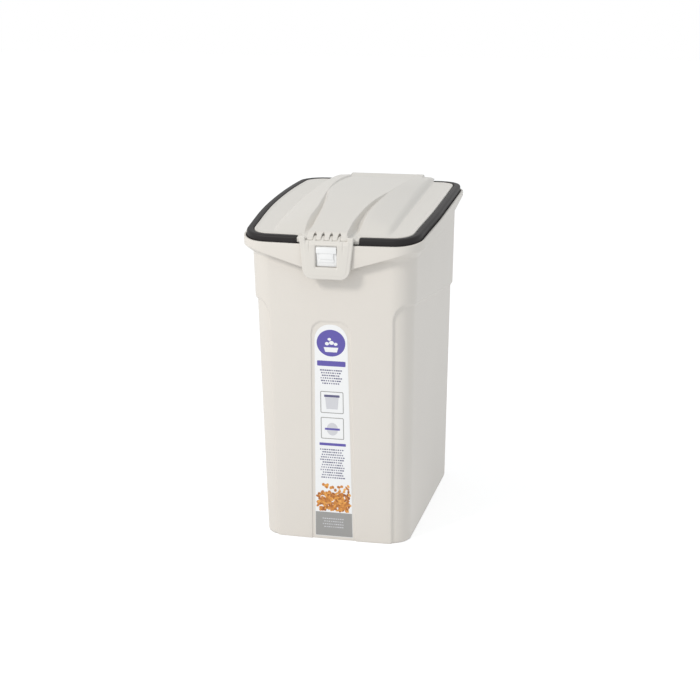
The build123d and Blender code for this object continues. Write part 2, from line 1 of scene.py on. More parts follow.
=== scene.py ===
"""Pet food storage bin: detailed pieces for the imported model, with materials, lights and camera.

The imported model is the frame. Every piece here is built from the same sizes, in millimetres,
and turned to metres when its mesh is made.
"""

from __future__ import annotations

import json
import logging
import math
from dataclasses import dataclass
from enum import Enum
from typing import Callable, Sequence

import bmesh
import bpy
import numpy as np
from mathutils import Matrix, Vector

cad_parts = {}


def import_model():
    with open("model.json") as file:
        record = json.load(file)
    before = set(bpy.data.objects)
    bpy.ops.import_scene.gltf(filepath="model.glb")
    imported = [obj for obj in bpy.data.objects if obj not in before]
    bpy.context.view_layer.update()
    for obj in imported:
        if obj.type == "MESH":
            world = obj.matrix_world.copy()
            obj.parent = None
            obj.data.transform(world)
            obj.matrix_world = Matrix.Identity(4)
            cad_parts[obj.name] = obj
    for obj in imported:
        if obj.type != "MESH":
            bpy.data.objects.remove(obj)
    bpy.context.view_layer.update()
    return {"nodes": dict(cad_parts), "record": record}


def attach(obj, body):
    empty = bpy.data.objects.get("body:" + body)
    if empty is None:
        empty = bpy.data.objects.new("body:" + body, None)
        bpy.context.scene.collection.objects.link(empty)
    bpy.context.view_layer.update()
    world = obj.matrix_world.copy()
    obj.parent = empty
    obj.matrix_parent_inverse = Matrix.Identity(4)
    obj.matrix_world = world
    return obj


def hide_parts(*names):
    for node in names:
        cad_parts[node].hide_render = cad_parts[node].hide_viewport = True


LOG = logging.getLogger("bin")
MM = 0.001
FLIP = np.array([-1.0, 1.0])
Array = np.ndarray
Point = tuple[float, float]
Nodes = dict[str, tuple[str, dict]]
Wires = Sequence[tuple[str, ...]]


class Body(Enum):
    """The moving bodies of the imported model."""

    TUB = "tub"
    LID = "lid"
    LATCH = "latch"


# Small maths


def smooth(value: Array | float) -> Array | float:
    """Eases from 0 to 1 as value goes from 0 to 1, and stays level outside."""
    t = np.clip(value, 0.0, 1.0)
    return t * t * (3.0 - 2.0 * t)


def soft_min(a: Array, b: Array, radius: float) -> Array:
    """The lower of two heights, rounded where they cross.

    Args:
        a: First heights.
        b: Second heights.
        radius: Difference of height within which they blend.

    Returns:
        The blended heights.
    """
    h = np.clip(0.5 + 0.5 * (b - a) / radius, 0.0, 1.0)
    return b * (1 - h) + a * h - radius * h * (1 - h)


def soft_max(a: Array, b: Array, radius: float) -> Array:
    """The higher of two heights, rounded where they cross.

    Args:
        a: First heights.
        b: Second heights.
        radius: Difference of height within which they blend.

    Returns:
        The blended heights.
    """
    return -soft_min(-a, -b, radius)


def curve_through(points: Sequence[Point]) -> Callable[[Array], Array]:
    """A smooth curve through points, level beyond its ends.

    Args:
        points: Places along the bin and the value at each.

    Returns:
        A function from places to values.
    """
    xs = np.array([p[0] for p in points], float)
    ys = np.array([p[1] for p in points], float)
    slopes = np.gradient(ys, xs)

    def value(at: Array) -> Array:
        """The curve's value at each place.

        Args:
            at: Places along the bin.

        Returns:
            The values there.
        """
        x = np.clip(np.asarray(at, float), xs[0], xs[-1])
        i = np.clip(np.searchsorted(xs, x) - 1, 0, len(xs) - 2)
        h = xs[i + 1] - xs[i]
        t = (x - xs[i]) / h
        a = (1 + 2 * t) * (1 - t) ** 2 * ys[i] + t * (1 - t) ** 2 * h * slopes[i]
        b = t * t * (3 - 2 * t) * ys[i + 1] + t * t * (t - 1) * h * slopes[i + 1]
        return a + b

    return value


@dataclass(frozen=True)
class Arch:
    """An upward circular arch along the bin, through three points (y, z)."""

    first: Point
    middle: Point
    last: Point

    def circle(self) -> tuple[float, float, float]:
        """Centre and radius of the arch.

        Returns:
            The centre's y and z, and the radius.
        """
        (ay, az), (by, bz), (cy, cz) = self.first, self.middle, self.last
        twice = 2 * (ay * (bz - cz) + by * (cz - az) + cy * (az - bz))
        a2, b2, c2 = ay * ay + az * az, by * by + bz * bz, cy * cy + cz * cz
        y = (a2 * (bz - cz) + b2 * (cz - az) + c2 * (az - bz)) / twice
        z = (a2 * (cy - by) + b2 * (ay - cy) + c2 * (by - ay)) / twice
        return y, z, math.hypot(ay - y, az - z)

    def at(self, y: Array | float) -> Array | float:
        """Height of the arch at the place y."""
        centre_y, centre_z, radius = self.circle()
        return centre_z + np.sqrt(radius**2 - (np.asarray(y) - centre_y) ** 2)


@dataclass(frozen=True)
class Stations:
    """Places round the right half of an outline, from the front's middle to the rear's.

    Attributes:
        across: Distances from the middle, on the front and the first half of its corner.
        corner: Steps round the rest of the front corner.
        side: Steps along the side.
        rear_corner: Steps round the rear corner.
        rear: Steps along the rear.
    """

    across: Array
    corner: int = 16
    side: int = 18
    rear_corner: int = 14
    rear: int = 9


@dataclass(frozen=True)
class Outline:
    """A rectangle in plan with four bowed sides and round corners, nipped in at the front."""

    half_width: float
    front: float
    rear: float
    side_bow: float
    end_bow: float
    corner: float
    nip: float = 0.0
    nip_start: float = 115.0
    nip_run: float = 95.0

    def half(self, stations: Stations) -> tuple[Array, Array]:
        """Points and outward normals at the stations of the right half.

        Args:
            stations: Where to take the points.

        Returns:
            Two arrays of x and y, one row for each station.
        """
        end_radius = (self.half_width**2 + self.end_bow**2) / (2 * self.end_bow)
        end = np.array([0.0, self.front - self.end_bow + end_radius])
        length = (self.rear - self.front) / 2
        side_radius = (length**2 + self.side_bow**2) / (2 * self.side_bow)
        middle = (self.front + self.rear) / 2
        side = np.array([self.half_width + self.side_bow - side_radius, middle])
        centre = self._corner_centre(end, end_radius, side, side_radius)
        start = math.atan2(*(centre - end)[::-1])
        stop = math.atan2(*(centre - side)[::-1])
        points, normals = [], []
        limit = centre[0] + self.corner * math.cos(start)
        for x in stations.across:
            if x <= limit:
                n = np.array([x / end_radius, -math.sqrt(1 - (x / end_radius) ** 2)])
                points.append(end + n * end_radius)
            else:
                c = (x - centre[0]) / self.corner
                n = np.array([c, -math.sqrt(1 - c * c)])
                points.append(centre + n * self.corner)
            normals.append(n)
        turned = math.atan2(normals[-1][1], normals[-1][0])
        rear_centre = np.array([centre[0], 2 * middle - centre[1]])
        rear_end = np.array([0.0, 2 * middle - end[1]])
        for around, radius, first, last, steps in (
            (centre, self.corner, turned, stop, stations.corner),
            (side, side_radius, stop, -stop, stations.side),
            (rear_centre, self.corner, -stop, -start, stations.rear_corner),
            (rear_end, end_radius, -start, math.pi / 2, stations.rear),
        ):
            for angle in np.linspace(first, last, steps + 1)[1:]:
                n = np.array([math.cos(angle), math.sin(angle)])
                points.append(around + n * radius)
                normals.append(n)
        points = np.array(points)
        points[:, 0] *= 1 - self.nip * smooth((self.front + self.nip_start - points[:, 1]) / self.nip_run)
        return points, np.array(normals)

    def _corner_centre(self, end: Array, end_radius: float, side: Array, side_radius: float) -> Array:
        """Centre of the corner's arc, which touches the front's and the side's from inside.

        Args:
            end: Centre of the front's arc.
            end_radius: Its radius.
            side: Centre of the side's arc.
            side_radius: Its radius.

        Returns:
            The centre's x and y.
        """
        a, b = end_radius - self.corner, side_radius - self.corner
        apart = side - end
        d = float(np.hypot(*apart))
        along = (a * a - b * b + d * d) / (2 * d)
        across = math.sqrt(max(a * a - along * along, 0.0))
        base = end + apart / d * along
        turn = np.array([-apart[1], apart[0]]) / d * across
        ends = [base + turn, base - turn]
        goal = np.array([self.half_width - self.corner, self.front + self.corner])
        return min(ends, key=lambda p: float(np.hypot(*(p - goal))))

    def loop(self, stations: Stations) -> tuple[Array, Array]:
        """Points and outward normals right round, mirrored about the middle.

        Args:
            stations: Where to take the points of the right half.

        Returns:
            Two arrays of x and y, one row for each point.
        """
        return tuple(np.vstack([rows, rows[-2:0:-1] * FLIP]) for rows in self.half(stations))


def lifted(points: Array, z: Array | float) -> Array:
    """Plan points given a height each."""
    return np.column_stack([points, np.broadcast_to(z, len(points))])


def bend(a: Array, b: Array, c: Array, cut: float, steps: int) -> list[Array]:
    """Rings that round the corner at b of the path from a to c.

    Args:
        a: Ring before the corner.
        b: Ring at the corner.
        c: Ring after the corner.
        cut: Length taken off on each side of the corner.
        steps: How many rings to make, less one.

    Returns:
        The rings in order.
    """
    back, ahead = a - b, c - b
    start = b + back / np.linalg.norm(back, axis=1, keepdims=True) * cut
    stop = b + ahead / np.linalg.norm(ahead, axis=1, keepdims=True) * cut
    shares = np.linspace(0, 1, steps + 1)
    return [(1 - t) ** 2 * start + 2 * t * (1 - t) * b + t * t * stop for t in shares]


def spaced(marks: Sequence[float], counts: Sequence[int]) -> Array:
    """Places from mark to mark, evenly spaced between each two.

    Args:
        marks: The places that must be met.
        counts: How many places from each mark to the next, both included.

    Returns:
        All the places in order, each once.
    """
    runs = [np.linspace(a, b, count)[:-1] for a, b, count in zip(marks, marks[1:], counts)]
    return np.append(np.concatenate(runs), marks[-1])


# Mesh building


def linked(name: str, data: bpy.types.ID) -> bpy.types.Object:
    """A new object in the scene.

    Args:
        name: What it is called.
        data: Its mesh, lamp or camera.

    Returns:
        The object.
    """
    made = bpy.data.objects.new(name, data)
    bpy.context.scene.collection.objects.link(made)
    return made


class Skin:
    """Collects the faces of one piece, in millimetres, and makes its object."""

    def __init__(self, name: str) -> None:
        """Starts an empty piece.

        Args:
            name: What the piece is called.
        """
        self.name = name
        self.vertices: list[Array] = []
        self.faces: list[tuple[int, ...]] = []
        self.count = 0

    def _add(self, points: Array) -> int:
        """Adds points.

        Args:
            points: Their places in millimetres.

        Returns:
            The number of the first one.
        """
        first = self.count
        self.vertices.append(np.asarray(points, float))
        self.count += len(points)
        return first

    def rings(self, rings: Sequence[Array], closed: bool = False) -> None:
        """Joins closed rings of equal length, one after the other.

        Args:
            rings: The rings in order.
            closed: Whether the last ring joins the first; if not, both are filled.
        """
        n = len(rings[0])
        first = self._add(np.vstack(rings))
        total = len(rings)
        for r in range(total if closed else total - 1):
            a, b = first + r * n, first + (r + 1) % total * n
            self.faces += [(a + i, a + (i + 1) % n, b + (i + 1) % n, b + i) for i in range(n)]
        if not closed:
            self.faces.append(tuple(range(first + n - 1, first - 1, -1)))
            self.faces.append(tuple(range(first + (total - 1) * n, first + total * n)))

    def slab(self, top: Array, bottom: Array, keep: Array) -> None:
        """A closed solid between two grids of points.

        Args:
            top: Points of the upper or outer side, rows by columns by three.
            bottom: Points of the other side.
            keep: Which cells are solid.
        """
        rows, cols = top.shape[:2]
        a = self._add(top.reshape(-1, 3))
        b = self._add(bottom.reshape(-1, 3))
        padded = np.pad(keep, 1)
        for r in range(rows - 1):
            for c in range(cols - 1):
                if not keep[r, c]:
                    continue
                i, m = r * cols + c, (r + 1) * cols + c
                j, k = i + 1, m + 1
                self.faces.append((a + i, a + j, a + k, a + m))
                self.faces.append((b + m, b + k, b + j, b + i))
                for there, p, q in (
                    (padded[r, c + 1], i, j),
                    (padded[r + 1, c + 2], j, k),
                    (padded[r + 2, c + 1], k, m),
                    (padded[r + 1, c], m, i),
                ):
                    if not there:
                        self.faces.append((a + q, a + p, b + p, b + q))

    def prism(self, profile: Sequence[Point], low: float, high: float, edge: float) -> None:
        """A profile in y and z drawn out along x, with softened edges.

        Args:
            profile: Corners of the profile in order.
            low: Where it starts on x.
            high: Where it stops on x.
            edge: Width of the softened edges.
        """
        mesh = bmesh.new()
        points = [mesh.verts.new((low, y, z)) for y, z in profile]
        face = mesh.faces.new(points)
        out = bmesh.ops.extrude_face_region(mesh, geom=[face])
        moved = [g for g in out["geom"] if isinstance(g, bmesh.types.BMVert)]
        bmesh.ops.translate(mesh, verts=moved, vec=(high - low, 0, 0))
        bmesh.ops.recalc_face_normals(mesh, faces=mesh.faces)
        if edge:
            sharp = [e for e in mesh.edges if e.calc_face_angle(0) > 0.5]
            bmesh.ops.bevel(mesh, geom=sharp, offset=edge, segments=3, affect="EDGES", profile=0.5)
        mesh.verts.index_update()
        first = self._add(np.array([tuple(v.co) for v in mesh.verts]))
        self.faces += [tuple(first + v.index for v in f.verts) for f in mesh.faces]
        mesh.free()

    def block(self, low: Sequence[float], high: Sequence[float], edge: float) -> None:
        """A box with softened edges between two corners."""
        (x0, y0, z0), (x1, y1, z1) = low, high
        self.prism([(y0, z0), (y1, z0), (y1, z1), (y0, z1)], x0, x1, edge)

    def make(self, material: bpy.types.Material, sharp: float) -> bpy.types.Object:
        """Makes the object, smooth shaded except across sharp edges.

        Args:
            material: What the piece is made of.
            sharp: Angle in degrees from which an edge stays sharp.

        Returns:
            The new object, in metres.
        """
        mesh = bpy.data.meshes.new(self.name)
        points = np.vstack(self.vertices) * MM
        mesh.from_pydata([tuple(p) for p in points], [], self.faces)
        work = bmesh.new()
        work.from_mesh(mesh)
        bmesh.ops.remove_doubles(work, verts=work.verts, dist=1e-6)
        bmesh.ops.dissolve_degenerate(work, edges=work.edges, dist=1e-7)
        bmesh.ops.recalc_face_normals(work, faces=work.faces)
        work.to_mesh(mesh)
        work.free()
        mesh.shade_smooth()
        mesh.set_sharp_from_angle(angle=math.radians(sharp))
        mesh.materials.append(material)
        return linked(self.name, mesh)


def place(piece: bpy.types.Object, body: Body, slot: str, *nodes: str) -> None:
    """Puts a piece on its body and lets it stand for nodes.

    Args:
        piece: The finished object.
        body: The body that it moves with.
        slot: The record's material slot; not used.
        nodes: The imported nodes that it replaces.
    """
    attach(piece, body.value)
    if nodes:
        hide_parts(*nodes)
    LOG.info("%s: %d faces", piece.name, len(piece.data.polygons))


class Part:
    """One moulded piece, whose faces each kind of part adds in its own way.

    Attributes:
        name: What the piece is called.
        slot: Its material and its slot in the record.
        body: The body that it moves with.
        node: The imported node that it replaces.
        sharp: Angle in degrees from which its edges stay sharp.
    """

    name: str
    slot: str
    body: Body
    node: str
    sharp: float

    def __init__(self) -> None:
        """Starts its skin."""
        self.skin = Skin(self.name)

    def fill(self) -> None:
        """Adds the part's faces to its skin."""
        raise NotImplementedError

    def build(self, materials: Materials) -> None:
        """Makes the piece and puts it on its body.

        Args:
            materials: Where its material comes from.
        """
        self.fill()
        piece = self.skin.make(materials.get(self.slot), self.sharp)
        place(piece, self.body, self.slot, self.node)


# Node trees

FLOAT = "NodeSocketFloat"
VECTOR = "NodeSocketVector"
COLOUR = "NodeSocketColor"
WHOLE = "NodeSocketInt"
GEOMETRY = "NodeSocketGeometry"


def socket(nodes: dict[str, bpy.types.Node], side: str, where: str) -> bpy.types.NodeSocket:
    """One socket of a node.

    Args:
        nodes: The nodes by their short names.
        side: Either "inputs" or "outputs".
        where: The node's short name, a dot, and the socket's name or number.

    Returns:
        The socket.
    """
    name, key = where.split(".")
    return getattr(nodes[name], side)[int(key) if key.isdigit() else key]


def wire(tree: bpy.types.NodeTree, kinds: Nodes, wires: Wires, **known: bpy.types.Node) -> None:
    """Adds nodes to a tree, sets their values and joins them.

    Args:
        tree: The tree.
        kinds: Type of each node by its short name, and what is set on it: inputs by name or
            number, and other settings by a name that starts with a dot.
        wires: Each has an output, then all the inputs that it feeds.
        known: Nodes that are there already, by their short names.
    """
    nodes = dict(known)
    for name, (kind, values) in kinds.items():
        nodes[name] = tree.nodes.new(kind)
        for key, value in values.items():
            if str(key).startswith("."):
                setattr(nodes[name], key[1:], value)
            else:
                nodes[name].inputs[key].default_value = value
    for source, *goals in wires:
        for goal in goals:
            tree.links.new(socket(nodes, "outputs", source), socket(nodes, "inputs", goal))


def node_group(
    name: str, inputs: dict[str, str], output: str, kinds: Nodes, wires: Wires
) -> bpy.types.NodeTree:
    """A group of nodes with its own sockets, for shaders or for geometry.

    Args:
        name: The group's name.
        inputs: Socket type of each input by name.
        output: Name of the output, of the same type as the input of that name, or else a float.
        kinds: Its nodes, as wire takes them; "given" and "result" are added.
        wires: Its links, as wire takes them.

    Returns:
        The group.
    """
    for_shapes = output == "Geometry"
    tree = bpy.data.node_groups.new(name, "GeometryNodeTree" if for_shapes else "ShaderNodeTree")
    for label, kind in inputs.items():
        tree.interface.new_socket(label, in_out="INPUT", socket_type=kind)
    tree.interface.new_socket(output, in_out="OUTPUT", socket_type=inputs.get(output, FLOAT))
    ends = {"given": ("NodeGroupInput", {}), "result": ("NodeGroupOutput", {})}
    wire(tree, ends | kinds, wires)
    return tree


# Materials


@dataclass(frozen=True)
class Finish:
    """How a material looks.

    Attributes:
        colour: Base colour, linear.
        roughness: How matt it is.
        grain: Grains of the moulded surface for each metre.
        relief: Height of the grain in metres.
        mottle: How much the colour varies.
        worn: How much lighter the edges are.
        dusty: How much lighter the level faces are.
        coat: Strength of a clear gloss over it.
        shine: Strength of its mirrored light, 0.5 for plain plastic.
        metal: Whether it is bare metal, 1 or 0.
    """

    colour: tuple[float, float, float]
    roughness: float
    grain: float = 900.0
    relief: float = 0.00004
    mottle: float = 0.02
    worn: float = 0.05
    dusty: float = 0.0
    coat: float = 0.0
    shine: float = 0.5
    metal: float = 0.0


PALE = (0.9, 0.89, 0.87, 1.0)
KIBBLE = ((0.30, 0.085, 0.018), (0.62, 0.23, 0.04), (0.86, 0.42, 0.085))
FINISHES = {
    "tub_plastic": Finish((0.734, 0.690, 0.640), 0.46, mottle=0.018),
    "lid_plastic": Finish((0.706, 0.673, 0.628), 0.44, mottle=0.018),
    "seal_rubber": Finish(
        (0.0090, 0.0070, 0.0075), 0.55, grain=1400.0, relief=0.00006, mottle=0.25, dusty=0.008, shine=0.36
    ),
    "catch_plastic": Finish((0.850, 0.848, 0.852), 0.20, relief=0.00001, mottle=0.01, coat=0.4),
    "pin_plastic": Finish((0.72, 0.68, 0.63), 0.42),
    "pin_steel": Finish((0.60, 0.60, 0.59), 0.30, grain=2500.0, metal=1.0),
    "label_film": Finish((0.865, 0.868, 0.880), 0.30, relief=0.00001, mottle=0.01, coat=0.2),
    "ink_violet": Finish((0.085, 0.062, 0.370), 0.32, relief=0.00001, mottle=0.05),
    "ink_dark": Finish((0.085, 0.080, 0.190), 0.36, relief=0.00001),
    "ink_grey": Finish((0.300, 0.295, 0.290), 0.36, relief=0.00001, mottle=0.04),
    "ink_pale": Finish((0.62, 0.62, 0.66), 0.36, relief=0.00001),
    "ink_white": Finish((0.865, 0.868, 0.880), 0.32, relief=0.00001),
}


class Materials:
    """Makes each material once, from its finish and the shared groups."""

    def __init__(self) -> None:
        """Builds the shared groups."""
        self.grain, self.mottle = self._grain(), self._mottle()
        self.edges, self.dust = self._edges(), self._dust()
        self.made: dict[str, bpy.types.Material] = {}

    @staticmethod
    def _grain() -> bpy.types.NodeTree:
        """Fine moulded grain: a height from 0 to 1.

        Returns:
            The group.
        """
        kinds = {
            "noise": ("ShaderNodeTexNoise", {"Detail": 3.0}),
            "cells": ("ShaderNodeTexVoronoi", {}),
            "mix": ("ShaderNodeMath", {".operation": "MULTIPLY_ADD", 1: 0.5}),
        }
        wires = [
            ("given.Vector", "noise.Vector", "cells.Vector"),
            ("given.Scale", "noise.Scale", "cells.Scale"),
            ("cells.Distance", "mix.0"),
            ("noise.Fac", "mix.2"),
            ("mix.0", "result.Height"),
        ]
        return node_group("surface_grain", {"Vector": VECTOR, "Scale": FLOAT}, "Height", kinds, wires)

    @staticmethod
    def _mottle() -> bpy.types.NodeTree:
        """A colour that varies a little over a hand's width.

        Returns:
            The group.
        """
        kinds = {
            "noise": ("ShaderNodeTexNoise", {"Scale": 14.0, "Detail": 5.0}),
            "level": ("ShaderNodeMapRange", {"To Min": -1.0, "To Max": 1.0}),
            "scaled": ("ShaderNodeMath", {".operation": "MULTIPLY_ADD", 2: 1.0}),
            "tint": ("ShaderNodeVectorMath", {".operation": "SCALE"}),
        }
        wires = [
            ("given.Vector", "noise.Vector"),
            ("noise.Fac", "level.Value"),
            ("level.Result", "scaled.0"),
            ("given.Amount", "scaled.1"),
            ("given.Colour", "tint.0"),
            ("scaled.0", "tint.Scale"),
            ("tint.0", "result.Colour"),
        ]
        inputs = {"Vector": VECTOR, "Colour": COLOUR, "Amount": FLOAT}
        return node_group("colour_mottle", inputs, "Colour", kinds, wires)

    @staticmethod
    def _edges() -> bpy.types.NodeTree:
        """A mask of the outer edges, from how pointed the surface is.

        Returns:
            The group.
        """
        kinds = {
            "geometry": ("ShaderNodeNewGeometry", {}),
            "level": ("ShaderNodeMapRange", {"From Min": 0.53, "From Max": 0.62}),
            "scaled": ("ShaderNodeMath", {".operation": "MULTIPLY"}),
        }
        wires = [
            ("geometry.Pointiness", "level.Value"),
            ("level.Result", "scaled.0"),
            ("given.Amount", "scaled.1"),
            ("scaled.0", "result.Mask"),
        ]
        return node_group("edge_mask", {"Amount": FLOAT}, "Mask", kinds, wires)

    @staticmethod
    def _dust() -> bpy.types.NodeTree:
        """A mask of faces that look up, broken up by noise.

        Returns:
            The group.
        """
        kinds = {
            "geometry": ("ShaderNodeNewGeometry", {}),
            "parts": ("ShaderNodeSeparateXYZ", {}),
            "level": ("ShaderNodeMapRange", {"From Min": 0.5}),
            "noise": ("ShaderNodeTexNoise", {"Scale": 160.0, "Detail": 4.0}),
            "both": ("ShaderNodeMath", {".operation": "MULTIPLY"}),
            "scaled": ("ShaderNodeMath", {".operation": "MULTIPLY"}),
        }
        wires = [
            ("geometry.Normal", "parts.0"),
            ("parts.Z", "level.Value"),
            ("given.Vector", "noise.Vector"),
            ("level.Result", "both.0"),
            ("noise.Fac", "both.1"),
            ("both.0", "scaled.0"),
            ("given.Amount", "scaled.1"),
            ("scaled.0", "result.Mask"),
        ]
        return node_group("dust_mask", {"Vector": VECTOR, "Amount": FLOAT}, "Mask", kinds, wires)

    def get(self, name: str) -> bpy.types.Material:
        """The material of that name."""
        if name not in self.made:
            self.made[name] = self._build(name, FINISHES[name])
        return self.made[name]

    def _build(self, name: str, finish: Finish) -> bpy.types.Material:
        """One material with grain, mottle, light edges and dust.

        Args:
            name: The material's name.
            finish: How it looks.

        Returns:
            The new material.
        """
        material = bpy.data.materials.new(name)
        material.use_nodes = True
        tree = material.node_tree
        shader = tree.nodes["Principled BSDF"]
        for key, value in {
            "Roughness": finish.roughness,
            "Metallic": finish.metal,
            "Specular IOR Level": finish.shine,
            "Coat Weight": finish.coat,
            "Coat Roughness": 0.08,
        }.items():
            shader.inputs[key].default_value = value
        group, colour = "ShaderNodeGroup", (*finish.colour, 1.0)
        kinds = {
            "where": ("ShaderNodeTexCoord", {}),
            "grain": (group, {".node_tree": self.grain, "Scale": finish.grain}),
            "mottle": (group, {".node_tree": self.mottle, "Colour": colour, "Amount": finish.mottle}),
            "edges": (group, {".node_tree": self.edges, "Amount": finish.worn}),
            "dust": (group, {".node_tree": self.dust, "Amount": finish.dusty}),
            "light": ("ShaderNodeMath", {".operation": "ADD", ".use_clamp": True}),
            "blend": ("ShaderNodeMix", {".data_type": "RGBA", "B": PALE}),
            "bump": ("ShaderNodeBump", {"Strength": 0.35, "Distance": finish.relief}),
        }
        wires = [
            ("where.Object", "grain.Vector", "mottle.Vector", "dust.Vector"),
            ("edges.Mask", "light.0"),
            ("dust.Mask", "light.1"),
            ("light.0", "blend.Factor"),
            ("mottle.Colour", "blend.A"),
            ("blend.Result", "shader.Base Color"),
            ("grain.Height", "bump.Height"),
            ("bump.Normal", "shader.Normal"),
        ]
        wire(tree, kinds, wires, shader=shader)
        return material

    def kibble(self) -> bpy.types.Material:
        """Printed kibble, whose tone comes from each pellet's own number.

        Returns:
            The material.
        """
        name = "ink_kibble"
        if name not in self.made:
            material = self._build(name, Finish(KIBBLE[1], 0.34, relief=0.00001, mottle=0.1))
            tree = material.node_tree
            ramp = tree.nodes.new("ShaderNodeValToRGB")
            ramp.color_ramp.elements.new(0.5)
            for element, colour in zip(ramp.color_ramp.elements, KIBBLE):
                element.color = (*colour, 1.0)
            kinds = {"tone": ("ShaderNodeAttribute", {".attribute_name": "tone"})}
            wires = [("tone.Fac", "ramp.Fac"), ("ramp.Color", "shader.Base Color")]
            wire(tree, kinds, wires, ramp=ramp, shader=tree.nodes["Principled BSDF"])
            self.made[name] = material
        return self.made[name]


# Shapes


@dataclass(frozen=True)
class RimSizes:
    """The rim that the tub, the seal and the lid share."""

    half_width: float = 100.8
    front: float = -145.4
    rear: float = 135.8
    side_bow: float = 4.0
    end_bow: float = 3.05
    corner: float = 29.5
    nip: float = 0.022
    corner_in: float = 9.6
    front_z: float = 353.3
    middle_z: float = 367.7
    rear_z: float = 371.6

    def outline(self, grow: float) -> Outline:
        """The rim's plan, grown outwards."""
        return Outline(
            self.half_width + grow,
            self.front - grow,
            self.rear + grow,
            self.side_bow,
            self.end_bow,
            self.corner + grow,
            self.nip,
        )

    def arch(self) -> Arch:
        """The rim's height along the bin."""
        return Arch(
            (self.front, self.front_z),
            ((self.front + self.rear) / 2, self.middle_z),
            (self.rear, self.rear_z),
        )

    def chord(self, y: Array) -> Array:
        """Height of the straight line between the rim's ends."""
        return self.front_z + (y - self.front) * (self.rear_z - self.front_z) / (self.rear - self.front)


RIM = RimSizes()
RIM_ARCH = RIM.arch()


@dataclass(frozen=True)
class HingeSizes:
    """The two rear hinges."""

    y: float = 148.0
    z: float = 371.8
    radius: float = 4.5
    x: float = 42.0
    knuckle: float = 16.0
    lug: float = 5.0
    lug_tall: float = 21.6
    gap: float = 0.4


HINGE = HingeSizes()


def round_profile(y: float, z: float, radius: float, start: float, stop: float, steps: int) -> list[Point]:
    """Points of an arc in y and z, from one angle in degrees to another."""
    return [
        (y + radius * math.cos(math.radians(a)), z + radius * math.sin(math.radians(a)))
        for a in np.linspace(start, stop, steps + 1)
    ]


@dataclass(frozen=True)
class TubSizes:
    """Sizes of the tub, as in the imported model."""

    half_width: float = 87.9
    front: float = -131.8
    rear: float = 134.3
    corner: float = 27.0
    corner_in: float = 7.9
    side_lean: float = 0.0186
    front_lean: float = 0.0214
    rear_lean: float = 0.0186
    front_bow: float = 2.0
    side_bow: float = 0.4
    wall: float = 2.3
    step_depth: float = 2.5
    step_height: float = 5.0
    ledge_under: float = 1.0
    ledge_over: float = 1.2
    high: float = 286.3
    shoulder: float = 265.0
    shoulder_slope: float = 0.1234
    panel_top: float = 71.0
    panel_bottom: float = 67.3
    panel_flare: float = 20.0
    channel_depth: float = 1.5
    channel_top: float = 22.3
    channel_bottom: float = 25.9
    channel_head: float = 263.0
    channel_round: float = 14.0
    lip_out: float = 3.4
    lip_wall: float = 2.5
    lip_drop: float = 8.5
    flare_drop: float = 18.0
    rear_rise: float = 4.2
    rise_start: float = -40.0
    rise_run: float = 160.0
    neck: float = 340.0
    neck_rise: float = 1.3
    neck_run: float = 20.0
    flare_round: float = 2.2
    foot_corner: float = 1.3
    top_corner: float = 0.9
    apron_apex: float = 318.0
    apron_slope: float = 0.30
    apron_half: float = 98.0
    apron_round: float = 3.0
    apron_over: float = 4.0
    foot_in: float = 3.0
    foot_round: tuple[Point, ...] = ((1.6, 0.0), (1.0, 0.12), (0.45, 0.5), (0.12, 1.1), (0.0, 1.9))
    floor_round: tuple[Point, ...] = ((1.2, 6.5), (3.2, 4.0), (6.5, 3.0))
    levels: tuple[float, ...] = (10.0, 40.0, 75.0, 110.0, 145.0, 180.0, 210.0, 230.0, 240.0)
    inner_rises: tuple[float, ...] = (12.0, 7.0, 5.6, 4.2, 2.8, 1.4, 0.0, -3.0)
    inner_levels: tuple[float, ...] = (240.0, 200.0, 150.0, 100.0, 50.0, 14.0)


